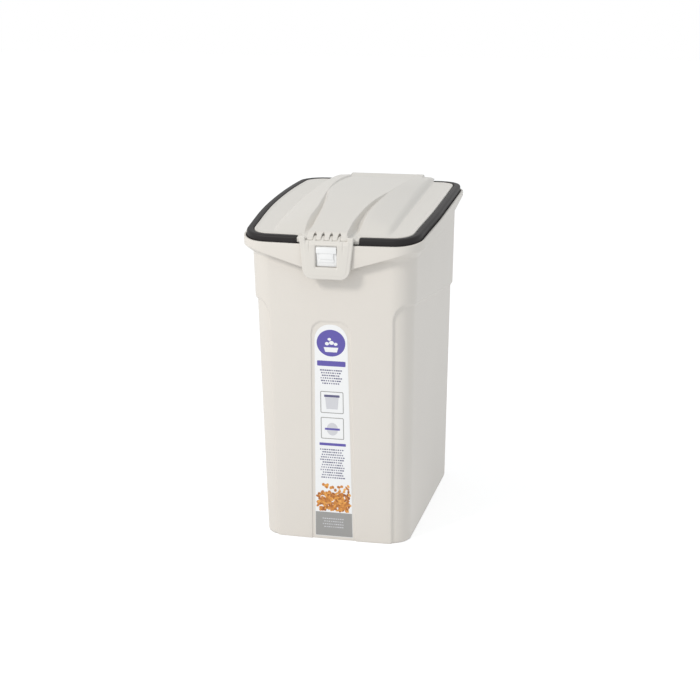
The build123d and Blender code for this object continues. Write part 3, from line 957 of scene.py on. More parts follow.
class Tub(Part):
    """The tub: stepped walls, front panel, label channel, flared neck, lip, apron and lugs."""

    name, slot, body, node, sharp = "tub_moulding", "tub_plastic", Body.TUB, "tub", 50.0
    s = TubSizes()

    def __init__(self) -> None:
        """Works out the wall's points at the foot and near the top."""
        super().__init__()
        self.low, self.low_n = self._outline(0.0).loop(self._stations(0.0))
        self.high, self.high_n = self._outline(self.s.high).loop(self._stations(self.s.high))

    def _side(self, z: float) -> float:
        """Half-width of the tub at a height, without the sides' bow."""
        return self.s.half_width + self.s.side_lean * z

    def _outline(self, z: float) -> Outline:
        """The tub's level outline at a height.

        Args:
            z: The height.

        Returns:
            The outline.
        """
        s = self.s
        front, rear = s.front - s.front_lean * z, s.rear + s.rear_lean * z
        return Outline(self._side(z), front, rear, s.side_bow, s.front_bow, s.corner)

    def _panel(self, z: Array | float) -> Array | float:
        """Half-width of the front panel at a height."""
        s = self.s
        return s.panel_bottom + (s.panel_top - s.panel_bottom) * z / self.s.high

    def _channel(self, z: Array | float) -> Array | float:
        """Half-width of the label channel at a height."""
        s = self.s
        return s.channel_bottom + (s.channel_top - s.channel_bottom) * z / s.channel_head

    def _stations(self, z: float) -> Stations:
        """Stations that follow the edges of the channel and the panel.

        Args:
            z: The height.

        Returns:
            The stations of the right half.
        """
        switch = self._side(z) - self.s.corner_in
        channel, panel = self._channel(z), self._panel(z)
        marks = (0, 6, channel - 1.2, channel + 1.2, panel - 3, panel + 3, switch)
        return Stations(spaced(marks, (5, 13, 7, 10, 9, 8)))

    def wall(self, z: Array | float, inset: Array | float = 0.0) -> Array:
        """Points of the wall at heights, moved inwards.

        Args:
            z: Height at each station, or one for all.
            inset: Distance inwards at each station, or one for all.

        Returns:
            One point for each station.
        """
        z = np.broadcast_to(np.asarray(z, float), len(self.low))
        share = (z / self.s.high)[:, None]
        points = self.low + (self.high - self.low) * share
        normals = self.low_n + (self.high_n - self.low_n) * share
        normals /= np.linalg.norm(normals, axis=1, keepdims=True)
        inset = np.broadcast_to(np.asarray(inset, float), len(self.low))[:, None]
        return lifted(points - normals * inset, z)

    def shoulder(self, y: Array) -> Array:
        """Height of the sloping shoulder line."""
        return self.s.shoulder - self.s.shoulder_slope * y

    def inset(self, z: Array, channel: bool) -> Array:
        """How far the wall is set in at each station for the step and the channel.

        Args:
            z: Height at each station.
            channel: Whether the label channel counts.

        Returns:
            Distances inwards.
        """
        s = self.s
        points = self.wall(z)
        x, y = np.abs(points[:, 0]), points[:, 1]
        ledge = smooth((self.shoulder(y) + s.step_height - z) / s.step_height)
        brow = s.shoulder - s.shoulder_slope * s.front + s.step_height
        dx = self._panel(z) + s.panel_flare - x
        dz = z - (brow - s.panel_flare)
        away = s.panel_flare - np.hypot(np.maximum(dx, 0), np.maximum(dz, 0))
        outside = np.where(y < 0, smooth((away + 0.2) / 2.4), 1.0)
        depth = s.step_depth * np.minimum(ledge, outside)
        if channel:
            half, head, r = self._channel(z), s.channel_head, s.channel_round
            ex, ez = x - (half - r), z - (head - r)
            edge = np.where(
                (ex > 0) & (ez > 0), np.hypot(ex, ez) - r, np.maximum(x - half, z - head)
            )
            cut = smooth((0.6 - edge) / 1.2)
            flat = s.channel_depth - s.front_bow * (x / s.half_width) ** 2
            depth = np.where(y < 0, np.maximum(depth, flat * cut), depth)
        return depth

    def _lip(self, drop: float | None, grow: float) -> Array:
        """A ring of the lip.

        Args:
            drop: How far it lies below the rim's chord, or None for on the rim's arch.
            grow: How far it lies outside the rim's plan.

        Returns:
            The ring.
        """
        switch = RIM.half_width + grow - RIM.corner_in
        scale = switch / (self._side(self.s.high) - self.s.corner_in)
        points, _ = RIM.outline(grow).loop(Stations(self._stations(self.s.high).across * scale))
        y = points[:, 1]
        z = RIM_ARCH.at(y) if drop is None else RIM.chord(y) - drop + self._rise(y)
        return lifted(points, z)

    def _rise(self, y: Array) -> Array:
        """How much shorter the lip gets towards the rear."""
        return self.s.rear_rise * smooth((y - self.s.rise_start) / self.s.rise_run)

    def _neck(self, extra: float, inset: float = 0.0) -> Array:
        """A ring of the wall where the flare starts, lowered by extra."""
        s, y = self.s, self.wall(self.s.neck)[:, 1]
        return self.wall(RIM.chord(y) - s.flare_drop + s.neck_rise * self._rise(y) - extra, inset)

    def _level(self, z: Array | float, inset: float, channel: bool) -> Array:
        """A ring of the wall with the step and perhaps the channel.

        Args:
            z: Height at each station, or one for all.
            inset: How much further in it lies.
            channel: Whether the label channel counts.

        Returns:
            The ring.
        """
        z = np.broadcast_to(np.asarray(z, float), len(self.low))
        return self.wall(z, inset + self.inset(z, channel))

    def _outer_rings(self) -> list[Array]:
        """Rings up the outside, from the foot to the lip's outer edge.

        Returns:
            The rings in order.
        """
        s = self.s
        rings = [self.wall(0.0, s.foot_in)]
        rings += [self._level(z, inset, True) for inset, z in s.foot_round]
        rings += [self._level(z, 0.0, True) for z in s.levels]
        line, last = self.shoulder(self.wall(s.shoulder)[:, 1]), s.levels[-1]
        under, over = s.ledge_under, s.step_height + s.ledge_over
        for share in np.linspace(0, 1, 31)[1:]:
            rings.append(self._level(last + (line - under - last) * share, 0.0, True))
        for rise in np.linspace(-under, over, 10)[1:]:
            rings.append(self._level(line + rise, 0.0, False))
        line = line + s.step_height + s.ledge_over
        neck, below = self._neck(0.0), self._neck(s.neck_run)
        for share in (0.2, 0.4, 0.6, 0.8):
            rings.append(self.wall(line + (below[:, 2] - line) * share))
        foot, top = self._lip(s.lip_drop, s.lip_out), self._lip(None, s.lip_out)
        rings += bend(below, neck, foot, s.flare_round, 5) + bend(neck, foot, top, s.foot_corner, 5)
        return rings + [foot + (top - foot) * 0.5]

    def _inner_rings(self) -> list[Array]:
        """Rings over the lip and down the inside to the floor.

        Returns:
            The rings in order.
        """
        s = self.s
        foot, top = self._lip(s.lip_drop, s.lip_out), self._lip(None, s.lip_out)
        inner = self._lip(None, s.lip_out - s.lip_wall)
        inner_foot = self._lip(s.lip_drop + 0.4, s.lip_out - s.lip_wall)
        neck, below = self._neck(0.8, s.wall), self._neck(s.neck_run, s.wall)
        rings = bend(foot, top, inner, s.top_corner, 4) + bend(top, inner, inner_foot, s.top_corner, 4)
        rings += bend(inner, inner_foot, neck, 1.5, 3) + bend(inner_foot, neck, below, s.flare_round, 4)
        line = self.shoulder(self.wall(s.shoulder)[:, 1])
        rings += [self._level(line + rise, s.wall, False) for rise in s.inner_rises]
        rings += [self._level(z, s.wall, False) for z in s.inner_levels]
        rings += [self._level(z, s.wall + inset, False) for inset, z in s.floor_round]
        return rings

    def _apron(self) -> None:
        """The V-shaped skin under the front of the lip."""
        s = self.s
        outline = RIM.outline(s.lip_out)
        reach = np.linspace(0, s.apron_half - 0.3, 44)
        points, normals = outline.half(Stations(reach, 1, 1, 1, 1))
        points, normals = points[: len(reach)], normals[: len(reach)]
        points, normals = (np.vstack([rows[:0:-1] * FLIP, rows]) for rows in (points, normals))
        x, y = np.abs(points[:, 0]), points[:, 1]
        low = s.apron_apex + s.apron_slope * np.hypot(x, s.apron_round)
        high = RIM.chord(y) - s.lip_drop + s.apron_over
        low = np.minimum(low, high - 1.5)
        wall = s.lip_wall
        edge = ((wall, 0.6), (wall - 0.5, 0.1), (0.9, 0.0), (0.35, 0.18), (0.08, 0.55), (0.0, 1.1))
        rings = [lifted(points - normals * inward, low + rise) for inward, rise in edge]
        for inward, z in ((0.0, (low + high) / 2), (0.02, high), (wall, high)):
            rings.append(lifted(points - normals * inward, z))
        self.skin.rings(np.stack(rings, axis=1))

    def _lugs(self) -> None:
        """The four lugs that carry the hinge pins."""
        h = HINGE
        wall = RIM.rear + RIM.end_bow + self.s.lip_out - self.s.lip_wall / 2
        profile = [(wall, RIM.rear_z - h.lug_tall)]
        profile += round_profile(h.y, h.z, h.radius, 0, 150, 14)
        profile += [(wall, RIM.rear_z - 1.0)]
        offset = h.knuckle / 2 + h.gap + h.lug / 2
        for side in (-1, 1):
            for turn in (-1, 1):
                x = side * h.x + turn * offset
                self.skin.prism(profile, x - h.lug / 2, x + h.lug / 2, 0.6)

    def fill(self) -> None:
        """Adds the walls, the apron and the lugs."""
        self.skin.rings(self._outer_rings() + self._inner_rings())
        self._apron()
        self._lugs()


@dataclass(frozen=True)
class SealSizes:
    """The rubber strip on the lid's edge."""

    width: float = 8.0
    above: float = 7.0
    below: float = 6.0
    rounding: float = 2.6
    foot_edge: float = 0.8
    end: float = 36.5
    end_round: float = 0.35
    end_share: float = 0.93


class Seal(Part):
    """The rubber strip: a rounded section swept round the rim, open at the latch."""

    name, slot, body, node, sharp = "seal_strip", "seal_rubber", Body.LID, "lid_seal", 60.0
    s = SealSizes()

    def _section(self) -> list[Point]:
        """The section's points.

        Returns:
            Distance inwards and height over the rim of each point.
        """
        s, r = self.s, self.s.rounding
        side = s.foot_edge - s.below
        points = [(0.0, side), (0.0, 0.0), (0.0, s.above - r)]
        points += round_profile(r, s.above - r, r, 180, 90, 7)[1:]
        points.append((s.width / 2, s.above))
        points += round_profile(s.width - r, s.above - r, r, 90, 0, 7)
        points += [(s.width, 0.0), (s.width, side)]
        return points + [(s.width - s.foot_edge, -s.below), (s.foot_edge, -s.below)]

    def fill(self) -> None:
        """Sweeps the section round the rim."""
        s = self.s
        across = np.linspace(s.end, RIM.half_width - RIM.corner_in, 30)
        half = RIM.outline(0.0).half(Stations(across, 20, 44, 20, 24))
        points, normals = (np.vstack([rows, rows[-2::-1] * FLIP]) for rows in half)
        rings = []
        for point, normal in zip(points, normals):
            path = [(point - normal * inward, height) for inward, height in self._section()]
            rings.append(np.array([(x, y, float(RIM_ARCH.at(y)) + height) for (x, y), height in path]))
        for end, side in ((0, 1), (-1, -1)):
            middle = rings[end].mean(axis=0)
            inner = middle + (rings[end] - middle) * s.end_share
            rings[end] = inner + np.array([s.end_round * side, 0.0, 0.0])
            rings.insert(0 if end == 0 else len(rings), inner)
        self.skin.rings(rings)


@dataclass(frozen=True)
class LidSizes:
    """Sizes of the lid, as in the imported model."""

    corner_in: float = 6.2
    plate_in: float = 8.5
    plate_low: float = 3.4
    plate_high: float = 6.2
    plate_sunk: float = 1.2
    plate_hole: Outline = Outline(58.0, -118.0, 122.0, 0.5, 0.5, 8.0)
    skirt_in: float = 9.8
    skirt_wall: float = 2.2
    skirt_drop: float = 9.0
    skirt_top: float = 4.2
    wall: float = 2.4
    comb_wall: float = 1.2
    comb_half: float = 19.0
    crown_low: float = 350.0
    crown_sunk: float = 0.5
    side_in: float = 30.0
    side_front: float = -137.0
    foot_y: float = -156.0
    front_run: float = 2.1
    front_round: float = 5.0
    crest: float = 64.0
    flat_half: float = 34.0
    flat_more: float = 6.0
    flat_soft: float = 12.0
    foot_round: float = 2.6
    tongue_wall: float = 2.4
    bank_wall: float = 1.05
    crease_half: float = 1.1
    crease_deep: float = 0.5
    crease_start: float = -6.0
    crease_run: float = 14.0
    back_y: float = 150.5
    back_draft: float = 0.06
    back_round: float = 3.0
    back_fall: float = 1.6
    hood_x: float = 4.0
    hood_half: float = 46.2
    hood_start: float = 126.0
    hood_run: float = 22.0
    hood_under: float = 0.2
    hood_rear: float = 131.0
    slot_start: float = 137.0
    slot_half: float = 1.7
    slot_gap: float = 2.0
    slot_deep: float = 3.0
    notch_tip: float = -143.9
    notch_taper: float = 3.3
    finger_top: float = 361.4
    nose_slope: float = 1.15
    nose_round: float = 1.6
    hood_low: float = 379.1
    tongue_front: float = -149.4
    tongue_half: float = 23.2
    block_half: float = 35.5
    block_front: float = -146.6
    block_back: float = -134.0
    block_low: float = 353.2
    inner_front: float = 4.6
    inner_slope: float = 8.5
    inner_rise: float = 3.6
    pitch: float = 9.2
    finger: float = 5.4
    axis_y: float = -148.3
    axis_z: float = 358.3
    knuckle_radius: float = 3.4


CROWN_ARCH = Arch((-138.0, 367.5), (-45.0, 382.5), (135.0, 385.5))
GROOVE_INNER = curve_through([
    (-150, 22.0), (-130, 21.3), (-110, 21.3), (-89, 22.6), (-68, 24.4), (-42, 27.7), (-17, 32.2),
    (0, 35.4), (12, 38.6),
])
GROOVE_OUTER = curve_through([
    (-150, 26.5), (-143, 27.7), (-132, 30.2), (-120, 31.5), (-97, 31.9), (-74, 31.4), (-50, 32.9),
    (-29, 35.0), (-8, 37.3), (12, 38.8),
])
GROOVE_DEPTH = curve_through([
    (-150, 5.0), (-125, 6.0), (-97, 5.4), (-70, 4.0), (-50, 3.4), (-30, 2.5), (-8, 1.2), (6, 0.0),
    (20, 0.0),
])
CREASE = curve_through([
    (-30, 34.0), (-10, 36.0), (0, 37.2), (12, 38.6), (34, 39.9), (58, 41.0), (95, 40.8), (150, 41.0),
])
FOOT = curve_through([
    (-156, 62.0), (-120, 66.9), (-60, 68.6), (0, 69.0), (60, 68.0), (120, 65.6), (150, 63.9),
])
CREST_FALL = curve_through([
    (-150, 2.0), (-132, 3.0), (-110, 5.2), (-79, 6.5), (-46, 7.4), (-8, 7.4), (34, 6.8), (87, 4.6),
    (120, 2.6), (150, 1.0),
])
SIDE_DIP = curve_through([(-150, 0.0), (50, 0.0), (87, 0.6), (115, 1.5), (140, 2.6), (151, 2.6)])
MIDDLE_DIP = curve_through([
    (-150, 0.0), (-8, 0.0), (15, 0.7), (40, 1.5), (60, 2.0), (95, 3.0), (125, 3.9), (151, 3.9),
])


class Lid(Part):
    """The lid: plate with a raised edge, arched middle with two grooves, fingers, skirt and knuckles."""

    name, slot, body, node, sharp = "lid_moulding", "lid_plastic", Body.LID, "lid", 40.0
    s = LidSizes()

    def _plate_top(self, y: Array) -> Array:
        """Height of the plate along the bin."""
        return RIM_ARCH.at(y) + self.s.plate_high

    def height(self, x: Array, y: Array) -> Array:
        """Height of the lid's top, with grooves, creases and the hood over the hinges.

        Args:
            x: Places across.
            y: Places along.

        Returns:
            The heights.
        """
        s = self.s
        across = np.abs(x)
        floor = self._plate_top(y)
        start = s.flat_half + s.flat_more * smooth((y + 10.0) / 50.0)
        out = across - start
        ramp = (out + np.sqrt(out * out + s.flat_soft)) / 2
        side = CROWN_ARCH.at(y) - CREST_FALL(y) * ramp / (s.crest - start) - SIDE_DIP(y)
        side = soft_min(side, floor + FOOT(y) - across, s.foot_round)
        side = soft_min(side, s.crown_low + (y - s.foot_y) / s.front_run, s.front_round)
        middle = CROWN_ARCH.at(y) - MIDDLE_DIP(y)
        nose = s.finger_top + (y - s.tongue_front) * s.nose_slope
        middle = np.where(across < s.tongue_half + 6, soft_min(middle, nose, s.nose_round), middle)
        inner_edge, outer_edge = GROOVE_INNER(y), GROOVE_OUTER(y)
        lean = np.clip((outer_edge - inner_edge) / 1.5, 0, 1)
        tongue = middle - s.tongue_wall * lean * np.maximum(across - inner_edge, 0)
        bank = side - s.bank_wall * lean * np.maximum(outer_edge - across, 0)
        bottom = np.where(across < outer_edge, np.minimum(middle, side) - GROOVE_DEPTH(y), 0.0)
        grooved = np.maximum(soft_max(tongue, bank, 0.3), bottom)
        past = (across - CREASE(y)) / s.crease_half
        creased = middle + (side - middle) * smooth(0.5 + past / 2)
        creased = creased - s.crease_deep * np.exp(-((past + 0.6) ** 2) * 4)
        shape = grooved + (creased - grooved) * smooth((y - s.crease_start) / s.crease_run)
        wide = smooth(s.hood_half + 0.5 - np.abs(x - s.hood_x))
        rise = smooth((y - s.hood_start) / s.hood_run) * wide
        shape = shape + (CROWN_ARCH.at(y) - s.hood_under - shape) * rise
        beside = np.abs(x - s.hood_x + s.hood_half + s.slot_gap)
        slot = smooth((y - s.slot_start) / 1.5) * smooth((s.slot_half - beside) / 0.7)
        return soft_max(shape - s.slot_deep * slot, floor, 1.6)

    def _notch(self, x: Array, y: Array) -> Array:
        """Whether a place lies in one of the wedge-shaped gaps between the fingers.

        Args:
            x: Places across.
            y: Places along.

        Returns:
            True in a gap.
        """
        s = self.s
        half = (s.pitch - s.finger) / 2 * np.clip((s.notch_tip - y) / s.notch_taper, 0, 1)
        gaps = [np.abs(x - (number - 1.5) * s.pitch) < half + 1e-6 for number in range(4)]
        return np.logical_or.reduce(gaps)

    def _columns(self, y: float) -> Array:
        """Places across at one row, from the middle out, that follow the groove and the crease.

        Args:
            y: The row's place along.

        Returns:
            The places.
        """
        s = self.s
        foot = float(FOOT(y)) + 3.0
        if y > s.hood_rear:
            foot = float(FOOT(y)) + float(self._plate_top(y)) - s.hood_low
        inner = min(float(GROOVE_INNER(y)), float(CREASE(y)) - 1.4) - 0.3
        outer = max(float(GROOVE_OUTER(y)), float(CREASE(y)) + 1.2) + 0.3
        if y < -30.0:
            inner, outer = float(GROOVE_INNER(y)) - 0.3, float(GROOVE_OUTER(y)) + 0.3
        half = s.finger / 2
        marks = (0.0, half, s.pitch - half, s.pitch + half, 2 * s.pitch - half, inner, outer, foot)
        return spaced(marks, (7, 9, 12, 9, 12, 28, 44))

    def _crown(self) -> None:
        """The raised middle as a closed shell with a soft foot."""
        s = self.s
        marks = (s.tongue_front, -139, -108, 14, 132, s.back_y - s.back_round)
        top, bottom, holes = [], [], []
        for y in spaced(marks, (26, 24, 56, 24, 18)):
            half = self._columns(float(y))
            x = np.concatenate([-half[:0:-1], half])
            wide = np.clip((np.abs(x) - s.side_in) / 2.5, 0, 1)
            along = np.maximum(y, s.tongue_front + wide * (s.side_front - s.tongue_front))
            z = self.height(x, along)
            edge = np.maximum(np.abs(x) - float(FOOT(y)) - 0.6, (s.side_front + 2.2 - along) * wide)
            z = z - s.crown_sunk * smooth(edge / 2.2)
            rear = s.back_y - s.back_draft * (z - s.crown_low)
            near = np.clip((y - (rear - s.back_round)) / s.back_round, 0, 1)
            z = z - s.back_fall * near**2
            comb = smooth((s.notch_tip - 0.7 - along) / 1.2) * (np.abs(x) < s.comb_half)
            wall = s.wall - (s.wall - s.comb_wall) * comb
            under = np.where(along > s.hood_rear, np.maximum(z - wall, s.hood_low), z - wall)
            top.append(np.column_stack([x, along, z]))
            bottom.append(np.column_stack([x, along, np.minimum(under, z - 0.6)]))
            holes.append(self._notch(x, along))
        top.append(top[-1] + np.array([0.0, 0.9, -1.3]))
        bottom.append(np.column_stack([top[-1][:, :2], np.full(len(top[-1]), s.hood_low)]))
        holes.append(holes[-1])
        open_here = np.array(holes)
        cells = open_here[1:, 1:] & open_here[:-1, :-1] & open_here[1:, :-1] & open_here[:-1, 1:]
        self.skin.slab(np.array(top), np.array(bottom), ~cells)

    @staticmethod
    def _stations(reach: float) -> Stations:
        """Stations for the plate and the skirt.

        Args:
            reach: How far across the even steps along the front go.

        Returns:
            The stations of the right half.
        """
        return Stations(np.linspace(0, reach, 40), 14, 40, 14, 24)

    def _sunk(self, points: Array) -> Array:
        """Height of the plate at each point, set down where the raised middle covers it.

        Args:
            points: Places across and along.

        Returns:
            The heights.
        """
        x, y = np.abs(points[:, 0]), points[:, 1]
        under = smooth((FOOT(y) - 1.5 - x) / 3.0) * smooth((y + 136.0) / 3.0)
        under = np.maximum(under, smooth((31.5 - x) / 1.5))
        return self._plate_top(y) - self.s.plate_sunk * under

    def _plate(self) -> None:
        """The flat of the lid round the raised middle, with a raised edge."""
        s = self.s
        reach = RIM.half_width - s.plate_in - s.corner_in
        outer, normals = RIM.outline(-s.plate_in).loop(self._stations(reach))
        inner, _ = s.plate_hole.loop(self._stations(s.plate_hole.half_width - 2.4))
        rings = []
        bead = ((0.0, 1.5), (0.0, 0.6), (0.15, 0.15), (0.55, -0.35), (1.2, -0.5), (1.9, -0.35), (2.5, 0.0))
        for inward, drop in bead:
            points = outer - normals * inward
            rings.append(lifted(points, self._sunk(points) - drop))
        start = outer - normals * bead[-1][0]
        for share in np.linspace(0, 1, 14)[1:]:
            points = start + (inner - start) * share
            rings.append(lifted(points, self._sunk(points)))
        thick = s.plate_high - s.plate_low
        for share in np.linspace(1, 0, 8):
            points = start + (inner - start) * share
            rings.append(lifted(points, self._plate_top(points[:, 1]) - thick))
        rings.append(lifted(outer, self._plate_top(outer[:, 1]) - thick))
        self.skin.rings(rings, closed=True)

    def _skirt(self) -> None:
        """The wall that drops into the tub under the plate."""
        s = self.s
        stations = self._stations(RIM.half_width - s.skirt_in - s.corner_in)
        rings = []
        top, low, wide = -s.skirt_top, s.skirt_drop, s.skirt_wall
        outside = [(0.0, top), (0.0, low - 0.7), (0.3, low - 0.1), (wide / 2, low)]
        inside = [(wide - inward, drop) for inward, drop in outside[2::-1]]
        for inward, drop in outside + inside:
            points, _ = RIM.outline(-s.skirt_in - inward).loop(stations)
            rings.append(lifted(points, RIM_ARCH.at(points[:, 1]) - drop))
        self.skin.rings(rings, closed=True)

    def _front(self) -> None:
        """The block that fills the seal's gap, and the five hinge fingers."""
        s = self.s
        top = float(RIM_ARCH.at(s.block_front)) + s.plate_high - 0.5
        back = float(RIM_ARCH.at(s.block_back)) + s.plate_high - 0.5
        foot = [(s.block_front, s.block_low), (s.block_back, s.block_low)]
        profile = foot + [(s.block_back, back), (s.block_front, top)]
        reach = 2 * s.pitch + s.finger / 2
        for side in (-1, 1):
            low, high = sorted((side * reach, side * s.block_half))
            self.skin.prism(profile, low, high, 0.8)
        near, far, high = s.axis_y + s.inner_front, s.axis_y + s.inner_slope, s.finger_top + s.inner_rise
        inner = [(near, s.block_low), (s.block_back, s.block_low), (s.block_back, back)]
        inner += [(far, high), (near, high)]
        self.skin.prism(inner, -reach, reach, 0.3)
        arc = round_profile(s.axis_y, s.axis_z, s.knuckle_radius, 270, 160, 14)
        finger = [(s.block_back, s.axis_z - s.knuckle_radius)] + arc
        finger += [(s.tongue_front - 0.4, s.finger_top - 0.3), (s.tongue_front + 2.2, s.finger_top + 1.5)]
        finger += [(s.block_back, s.axis_z)]
        for number in range(5):
            x = (number - 2) * s.pitch
            left = -s.tongue_half if number == 0 else x - s.finger / 2
            right = s.tongue_half if number == 4 else x + s.finger / 2
            self.skin.prism(finger, left, right, 0.35)

    def _knuckles(self) -> None:
        """The two knuckles of the rear hinges, under the raised middle's rear edge."""
        s, h = self.s, HINGE
        profile = [(h.y - h.radius, s.hood_low + 1.5)]
        profile += round_profile(h.y, h.z, h.radius, 180, 360, 18)
        profile += [(s.back_y - 3.4, s.hood_low + 1.5)]
        for side in (-1, 1):
            self.skin.prism(profile, side * h.x - h.knuckle / 2, side * h.x + h.knuckle / 2, 0.5)

    def fill(self) -> None:
        """Adds every region of the lid."""
        self._crown()
        self._plate()
        self._skirt()
        self._front()
        self._knuckles()


@dataclass(frozen=True)
class LatchSizes:
    """Sizes of the latch plate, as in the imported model."""

    top: float = 361.6
    comb: float = 357.5
    comb_half: float = 23.6
    low: float = 315.0
    half_top: float = 31.0
    half_low: float = 25.8
    corner: float = 10.0
    wall: float = 2.8
    back_top: float = -152.3
    back_low: float = -155.0
    bend_z: float = 350.0
    window_half: float = 12.0
    window_low: float = 328.5
    window_high: float = 351.7
    window_bevel: float = 1.1
    edge_round: float = 1.5
    rim_in: float = 4.6
    rim_deep: float = 0.35
    crease: float = 19.0
    crease_low: float = 343.5
    crease_deep: float = 0.7
    roll: float = 4.2
    roll_deep: float = 1.9
    roll_back: float = 0.42
    knuckle: float = 3.4
    knuckle_more: float = 0.7


class Latch(Part):
    """The latch plate: bent, with round lower corners, a bevelled window, creases and knuckles."""

    name, slot, body, node, sharp = "latch_plate", "lid_plastic", Body.LATCH, "latch", 50.0
    s, lid = LatchSizes(), LidSizes()

    def _half(self, z: Array) -> Array:
        """Half-width of the plate at a height."""
        s = self.s
        return s.half_low + (s.half_top - s.half_low) * (z - s.low) / (s.top - s.low)

    def _back(self, z: Array) -> Array:
        """Place of the back face at a height.

        Args:
            z: Heights.

        Returns:
            The places along.
        """
        s = self.s
        share = np.clip((s.bend_z - z) / (s.bend_z - s.low), 0, 1)
        return s.back_top + (s.back_low - s.back_top) * share

    def _edge_distance(self, x: Array, z: Array) -> Array:
        """Distance in from the plate's outer edge.

        Args:
            x: Places across.
            z: Heights.

        Returns:
            The distances.
        """
        s = self.s
        side = self._half(z) - np.abs(x)
        foot = z - s.low
        head = np.where(np.abs(x) > s.comb_half, s.top - z, s.comb - z)
        both = (side < s.corner) & (foot < s.corner)
        corner = s.corner - np.hypot(s.corner - side, s.corner - foot)
        plain = np.minimum(side, foot)
        return np.minimum(np.where(both, corner, plain), np.maximum(head, 0) + 0.4)

    def _front(self, x: Array, z: Array) -> Array:
        """Place of the front face, with its rounded edge, window bevel and creases.

        Args:
            x: Places across.
            z: Heights.

        Returns:
            The places along.
        """
        s, r = self.s, self.s.edge_round
        inward = self._edge_distance(x, z)
        edge = np.clip(inward, 0, r)
        face = self._back(z) - s.wall + r - np.sqrt(np.maximum(r**2 - (r - edge) ** 2, 0))
        rim = np.clip((s.rim_in - inward) / 0.9, 0, 1)
        face = face + s.rim_deep * smooth(rim) * (z < s.comb - 2)
        wx = np.abs(x) - s.window_half
        wz = np.maximum(s.window_low - z, z - s.window_high)
        hole = np.where((wx > 0) & (wz > 0), np.hypot(wx, wz), np.maximum(wx, wz))
        face = face + s.window_bevel * (1 - smooth(hole / 1.5))
        crease = np.clip(1 - np.abs(np.abs(x) - s.crease), 0, 1) * smooth((z - s.crease_low) / 5.0)
        roll = self._roll(z) * smooth((s.comb_half + 1.0 - np.abs(x)) / 2.0)
        return face + s.crease_deep * crease + s.roll_deep * roll**2

    def _roll(self, z: Array) -> Array:
        """How far the top edge is rolled over at a height, from 0 to 1."""
        return np.clip((z - self.s.comb + self.s.roll) / self.s.roll, 0, 1)

    def _grid(self) -> Array:
        """Places across and heights of the plate's points, column by column.

        Returns:
            Columns by rows by two.
        """
        s = self.s
        marks = (0, s.window_half, s.window_half + 2.2, s.comb_half - 0.01)
        fixed = spaced(marks, (9, 6, 20))[:-1]
        shares = 1 - np.linspace(1, 0, 16) ** 1.6
        foot = 1 - np.cos(np.linspace(0, math.pi / 2, 18))[:-1]
        window = spaced((s.window_low, s.window_high, s.comb, s.top), (14, 8, 10))
        columns = []
        for start, share in [(x, 0.0) for x in fixed] + [(s.comb_half, share) for share in shares]:
            here = start + (self._half(s.low + 3.0) - start) * share
            over = min(max(here - (self._half(s.low) - s.corner), 0.0), s.corner)
            low = s.low + s.corner - math.sqrt(s.corner**2 - over**2)
            z = np.concatenate([low + (s.window_low - low) * foot, window])
            columns.append(np.column_stack([start + (self._half(z) - start) * share, z]))
        half = np.array(columns)
        return np.concatenate([half[:0:-1] * FLIP, half])

    def fill(self) -> None:
        """Adds the plate and its four knuckles."""
        s, lid, grid = self.s, self.lid, self._grid()
        x, z = grid[:, :, 0], grid[:, :, 1]
        front = np.stack([x, self._front(x, z), z], axis=2)
        wrap = s.roll_back * self._roll(z) ** 2 * (np.abs(x) < s.comb_half)
        back = np.stack([x, self._back(z) + wrap, z], axis=2)
        cx = np.abs((x[1:, 1:] + x[:-1, :-1]) / 2)
        cz = (z[1:, 1:] + z[:-1, :-1]) / 2
        in_window = (cx < s.window_half) & (cz > s.window_low) & (cz < s.window_high)
        in_comb = (cx < s.comb_half) & (cz > s.comb)
        self.skin.slab(front, back, ~(in_window | in_comb))
        profile = round_profile(lid.axis_y, lid.axis_z, lid.knuckle_radius + s.knuckle_more, 60, -90, 16)
        plate = s.back_top - s.wall / 2
        profile += [(plate, lid.axis_z - lid.knuckle_radius), (plate, lid.axis_z - 0.9)]
        for number in range(4):
            at = (number - 1.5) * lid.pitch
            self.skin.prism(profile, at - s.knuckle / 2, at + s.knuckle / 2, 0.3)


@dataclass(frozen=True)
class CatchSizes:
    """The clip's boxes, each with half-width, reach out, bottom, top and softened edge."""

    base: tuple[float, ...] = (11.5, 1.15, 328.8, 351.2, 0.35)
    ledge: tuple[float, ...] = (8.6, 1.95, 333.5, 337.6, 0.3)
    nose: tuple[float, ...] = (7.9, 2.75, 336.9, 344.2, 0.45)
    head_out: float = 3.35
    head_low: float = 343.6
    head_ramp: float = 349.2
    slot: float = 2.6


class Catch(Part):
    """The white clip whose nose stands in the latch's window: base, ledge, nose, head, stem and barb."""

    name, slot, body, node, sharp = "catch_clip", "catch_plastic", Body.TUB, "catch", 40.0
    s = CatchSizes()

    def fill(self) -> None:
        """Adds the boxes and the ramped head."""
        s, skin = self.s, self.skin
        lip = RIM.front - RIM.end_bow - TubSizes.lip_out
        back, slot = lip - 0.1, lip + s.slot
        for half, out, low, high, edge in (s.base, s.ledge, s.nose):
            skin.block((-half, lip - out, low), (half, back, high), edge)
        half, out, _, high, _ = s.base
        tip = lip - s.head_out
        head = [(back, s.head_low), (tip, s.head_low), (tip, s.head_ramp)]
        head += [(lip - out - 0.2, high), (back, high)]
        skin.prism(head, -half, half, 0.5)
        skin.block((-6.0, back - 0.05, 330.0), (6.0, slot + 0.1, 335.0), 0.2)
        skin.block((-7.0, slot, 329.0), (7.0, slot + 1.4, 336.0), 0.3)


# Label


